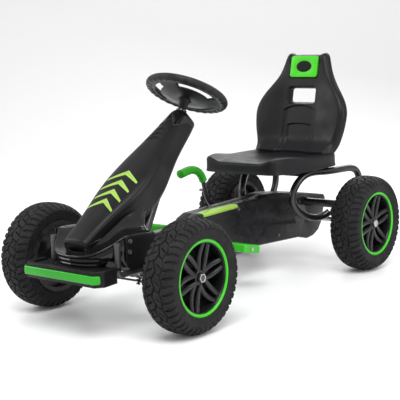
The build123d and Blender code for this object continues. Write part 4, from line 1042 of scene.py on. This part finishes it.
def build_steering_wheel():
    """Grip ring with finger bumps, a dished plate with three openings, and its boss."""
    grip = Surface()
    turn = turns(180)[:, None]
    around = turns(28)[None, :]
    under = np.clip(-np.sin(around), 0, 1)
    minor = GRIP_R * (0.97 + 0.03 * np.cos(2 * around)) + 0.7 * np.cos(30 * turn) * under
    radius = WHEEL_MAJOR + minor * np.cos(around)
    height = 0.95 * minor * np.sin(around)
    points = (COLUMN_TOP + (radius * np.cos(turn))[..., None] * ACROSS
              + (radius * np.sin(turn))[..., None] * COLUMN_BACK + height[..., None] * COLUMN_AXIS)
    grip.grid(points, wrap_rows=True, wrap_cols=True)
    grip.piece("steering_wheel_grip", "grip_black", "steering_wheel")
    plate = Surface()
    radii = np.concatenate([np.linspace(11.5, 56, 12), np.linspace(60, 90, 9),
                            np.linspace(93, WHEEL_MAJOR - 2, 3)])
    angles = np.arange(0, 360, PLATE_STEP)
    verts = []
    for radius in radii:
        height = -DISH + (DISH - 5) * float(smooth(30, WHEEL_MAJOR, radius))
        for angle in np.radians(angles):
            verts.append(on_column(radius * math.cos(angle), radius * math.sin(angle), height))
    faces = []
    count = len(angles)
    for r in range(len(radii) - 1):
        for c, angle in enumerate(angles):
            middle_r = (radii[r] + radii[r + 1]) / 2
            middle = angle + PLATE_STEP / 2
            gap = min(abs((middle - centre + 180) % 360 - 180) for centre in SPOKE_TURNS)
            side = OPENING_EDGE + (90 - middle_r) * 0.12
            if OPENING_R[0] < middle_r < OPENING_R[1] and gap > side:
                continue
            faces.append((r * count + c, r * count + (c + 1) % count,
                          (r + 1) * count + (c + 1) % count, (r + 1) * count + c))
    plate.add(verts, faces)
    made = plate.piece("steering_wheel_plate", "black_plastic", "steering_wheel", sharp=60)
    thicken(made, 6, 0)
    bevel(made, 1.6, 3, 50)
    rings = [[on_column(radius * math.cos(a), radius * math.sin(a), height) for a in turns(48)]
             for radius, height in BOSS_PROFILE]
    boss = Surface()
    boss.grid(np.array(rings), wrap_cols=True)
    boss.piece("steering_wheel_boss", "black_plastic", "steering_wheel")


build_steering_wheel()

# -------------------------------- brake grip, case stripe

BRAKE_X = joint_mm("brake_pull")[0]
GRIP_LINE = [(76, 303), (67, 319), (49, 334), (18, 341), (-29, 334)]  # y and z
GRIP_RIDGES = 11
STRIPE_START, STRIPE_END = -66.0, 96.0
CASE_FRONT = (-72.0, 232.3)  # y and z of the front of the case's sloping top
CASE_SLOPE = 7 / 279


def build_brake_grip():
    """Soft grip that curves forward from the lever, with finger ridges."""
    path = evenly(curve_through([(BRAKE_X, y, z) for y, z in GRIP_LINE], 60), 64)
    share = np.linspace(0, 1, len(path))
    radii = 12.2 + 1.2 * smooth(0.1, 0.8, share) + 0.35 * np.cos(TAU * GRIP_RIDGES * share)
    grip = Surface()
    grip.tube(path, radii, 24, flat=0.92)
    grip.piece("brake_grip_sleeve", "green_grip", "brake_grip")


def build_case_stripe():
    """Lime stripe along the top of the chain case's front part."""
    high = box_mm("chain_case_left")[1]
    stripe = Surface()
    rows = []
    for y in np.linspace(STRIPE_START, STRIPE_END, 28):
        top = CASE_FRONT[1] + (y - CASE_FRONT[0]) * CASE_SLOPE
        end = float(smooth(STRIPE_START, -30, y) * smooth(STRIPE_END, 20, y))
        inner, outer = 9 - 6 * end, high[0] - 4
        rows.append([(inner, y, top), ((inner + outer) / 2, y, top), (outer, y, top),
                     (high[0] + 0.5, y, top - 4.5), (high[0] + 0.6, y, top - 10)])
    stripe.grid(np.array(rows))
    made = stripe.piece("case_stripe", "lime_decal", body="chassis", slot="green_plastic")
    thicken(made, STICKER_THICK, 1)


build_brake_grip()
build_case_stripe()

# -------------------------------- CAD nodes that stay

SPECIAL_LOOKS = {
    "chain_case_left": "case_plastic",
    "chain_case_right": "case_plastic",
    "bumper_strip": "green_strip",
    "headrest_insert": "green_insert",
    "headrest_button": "shadow_black",
    # the posts' grey is partly painted shade
    "bumper_posts": "post_grey_part_painted_shade",
    "panel_screws": "dull_steel",
}
BEVELS = {
    "chain_case_left": 3.0, "chain_case_right": 3.0, "side_guards": 1.2, "crank": 2.0,
    "bearing_plates": 1.0, "seat_rails": 1.0, "seat_slides": 0.8, "main_frame": 1.2,
    "brake_bracket": 0.8, "headrest_insert": 1.5, "headrest_button": 1.2,
    "bumper_strip": 3.6, "bumper_body": 3.0,
}
DEFAULT_BEVEL = 0.6
WIDE_BEVEL = 3.0


def dress_cad_nodes():
    """Gives each CAD node still showing its material, small edge radii and clean shading."""
    for name, obj in NODES.items():
        if obj.hide_render:
            continue
        obj.data.materials.clear()
        obj.data.materials.append(MATERIALS[SPECIAL_LOOKS.get(name, SLOTS[name])])
        custom = obj.data.attributes.get("custom_normal")
        if custom:
            obj.data.attributes.remove(custom)
        obj.data.shade_smooth()
        modifier(obj, "WELD", merge_threshold=MERGE)
        width = BEVELS.get(name, DEFAULT_BEVEL)
        bevel(obj, width, 4 if width > WIDE_BEVEL else 2, 38, use_clamp_overlap=True)
        modifier(obj, "EDGE_SPLIT", split_angle=math.radians(34))


dress_cad_nodes()

# -------------------------------- floor, light, camera, in metres

CAMERA_TURN = (39.171, 9.028, -1.740)  # azimuth, elevation and roll, in degrees
CAMERA_PLACE = (1.883, -2.346, 0.739)
CAMERA_LENS = 94.87
SENSOR_WIDTH = 36
LIGHTS = (  # name, place, size, power
    ("key", (1.2, -1.6, 3.2), (2.6, 1.8), 105),
    ("left", (-2.6, -1.6, 1.8), (1.4, 2.4), 45),
    ("right", (3.2, 0.6, 1.7), (1.2, 2.6), 50),
    ("rear", (-0.8, 2.8, 2.4), (2.6, 1.4), 45),
)
LIT_POINT = (0, 0, 0.3)
WORLD_LIGHT = 0.62
AWAY = (-1.88, 2.35, 0)  # from the camera, along the floor
SIDEWAYS = (0.775, 0.632, 0)
FLOOR_FRONT, FLOOR_BACK = -6.0, 3.0
SWEEP_R = 2.0
SWEEP_STEPS = 12
WALL_TOP = 7.0
SWEEP_HALF = 9


def area_light(name, place, size, power):
    """A soft rectangular lamp that faces the kart."""
    data = bpy.data.lights.new(name, "AREA")
    data.shape = "RECTANGLE"
    data.size, data.size_y = size
    data.energy = power
    light = new_object(name, data)
    light.location = place
    facing = Vector(LIT_POINT) - Vector(place)
    light.rotation_euler = facing.to_track_quat("-Z", "Y").to_euler()


def build_sweep():
    """A pale floor that curves up into a wall behind the kart."""
    back = Vector(AWAY).normalized()
    across = Vector(SIDEWAYS)
    rows = [(FLOOR_FRONT, 0.0), (FLOOR_BACK, 0.0)]
    for step in range(1, SWEEP_STEPS + 1):
        angle = math.pi / 2 * step / SWEEP_STEPS
        rows.append((FLOOR_BACK + SWEEP_R * math.sin(angle), SWEEP_R * (1 - math.cos(angle))))
    rows.append((FLOOR_BACK + SWEEP_R, WALL_TOP))
    verts = []
    for distance, height in rows:
        for sideways in (-SWEEP_HALF, SWEEP_HALF):
            place = back * distance + across * sideways
            verts.append((place.x, place.y, height))
    faces = [(2 * i, 2 * i + 1, 2 * i + 3, 2 * i + 2) for i in range(len(rows) - 1)]
    mesh = bpy.data.meshes.new("studio_sweep")
    mesh.from_pydata(verts, [], faces)
    mesh.shade_smooth()
    sweep = new_object("studio_sweep", mesh)
    paint = Nodes("studio_white")
    paint.feed("Roughness", paint.remap(paint.noise(3, 2), 0.3, 0.7, 0.3, 0.36))
    paint.set(Base_Color=(0.93, 0.93, 0.935, 1), Specular_IOR_Level=0.35)
    mesh.materials.append(paint.material)


def build_lights():
    """Soft studio light from above, both sides and behind, in an even white world."""
    for light in LIGHTS:
        area_light(*light)
    world = bpy.data.worlds.new("studio")
    world.use_nodes = True
    background = world.node_tree.nodes["Background"]
    background.inputs["Color"].default_value = (1, 1, 1, 1)
    background.inputs["Strength"].default_value = WORLD_LIGHT
    bpy.context.scene.world = world
    bpy.context.scene.view_settings.view_transform = "Standard"


def build_camera():
    """The photo's viewpoint, as fitted to the four wheels."""
    azimuth, elevation, roll = (math.radians(a) for a in CAMERA_TURN)
    back = Vector((math.sin(azimuth) * math.cos(elevation),
                   -math.cos(azimuth) * math.cos(elevation), math.sin(elevation)))
    right = Vector((math.cos(azimuth), math.sin(azimuth), 0))
    up = back.cross(right)
    turned_right = math.cos(roll) * right + math.sin(roll) * up
    turned_up = -math.sin(roll) * right + math.cos(roll) * up
    data = bpy.data.cameras.new("camera")
    data.lens = CAMERA_LENS
    data.sensor_width = SENSOR_WIDTH
    camera = new_object("camera", data)
    matrix = Matrix((turned_right, turned_up, back)).transposed().to_4x4()
    matrix.translation = Vector(CAMERA_PLACE)
    camera.matrix_world = matrix
    bpy.context.scene.camera = camera


build_sweep()
build_lights()
build_camera()
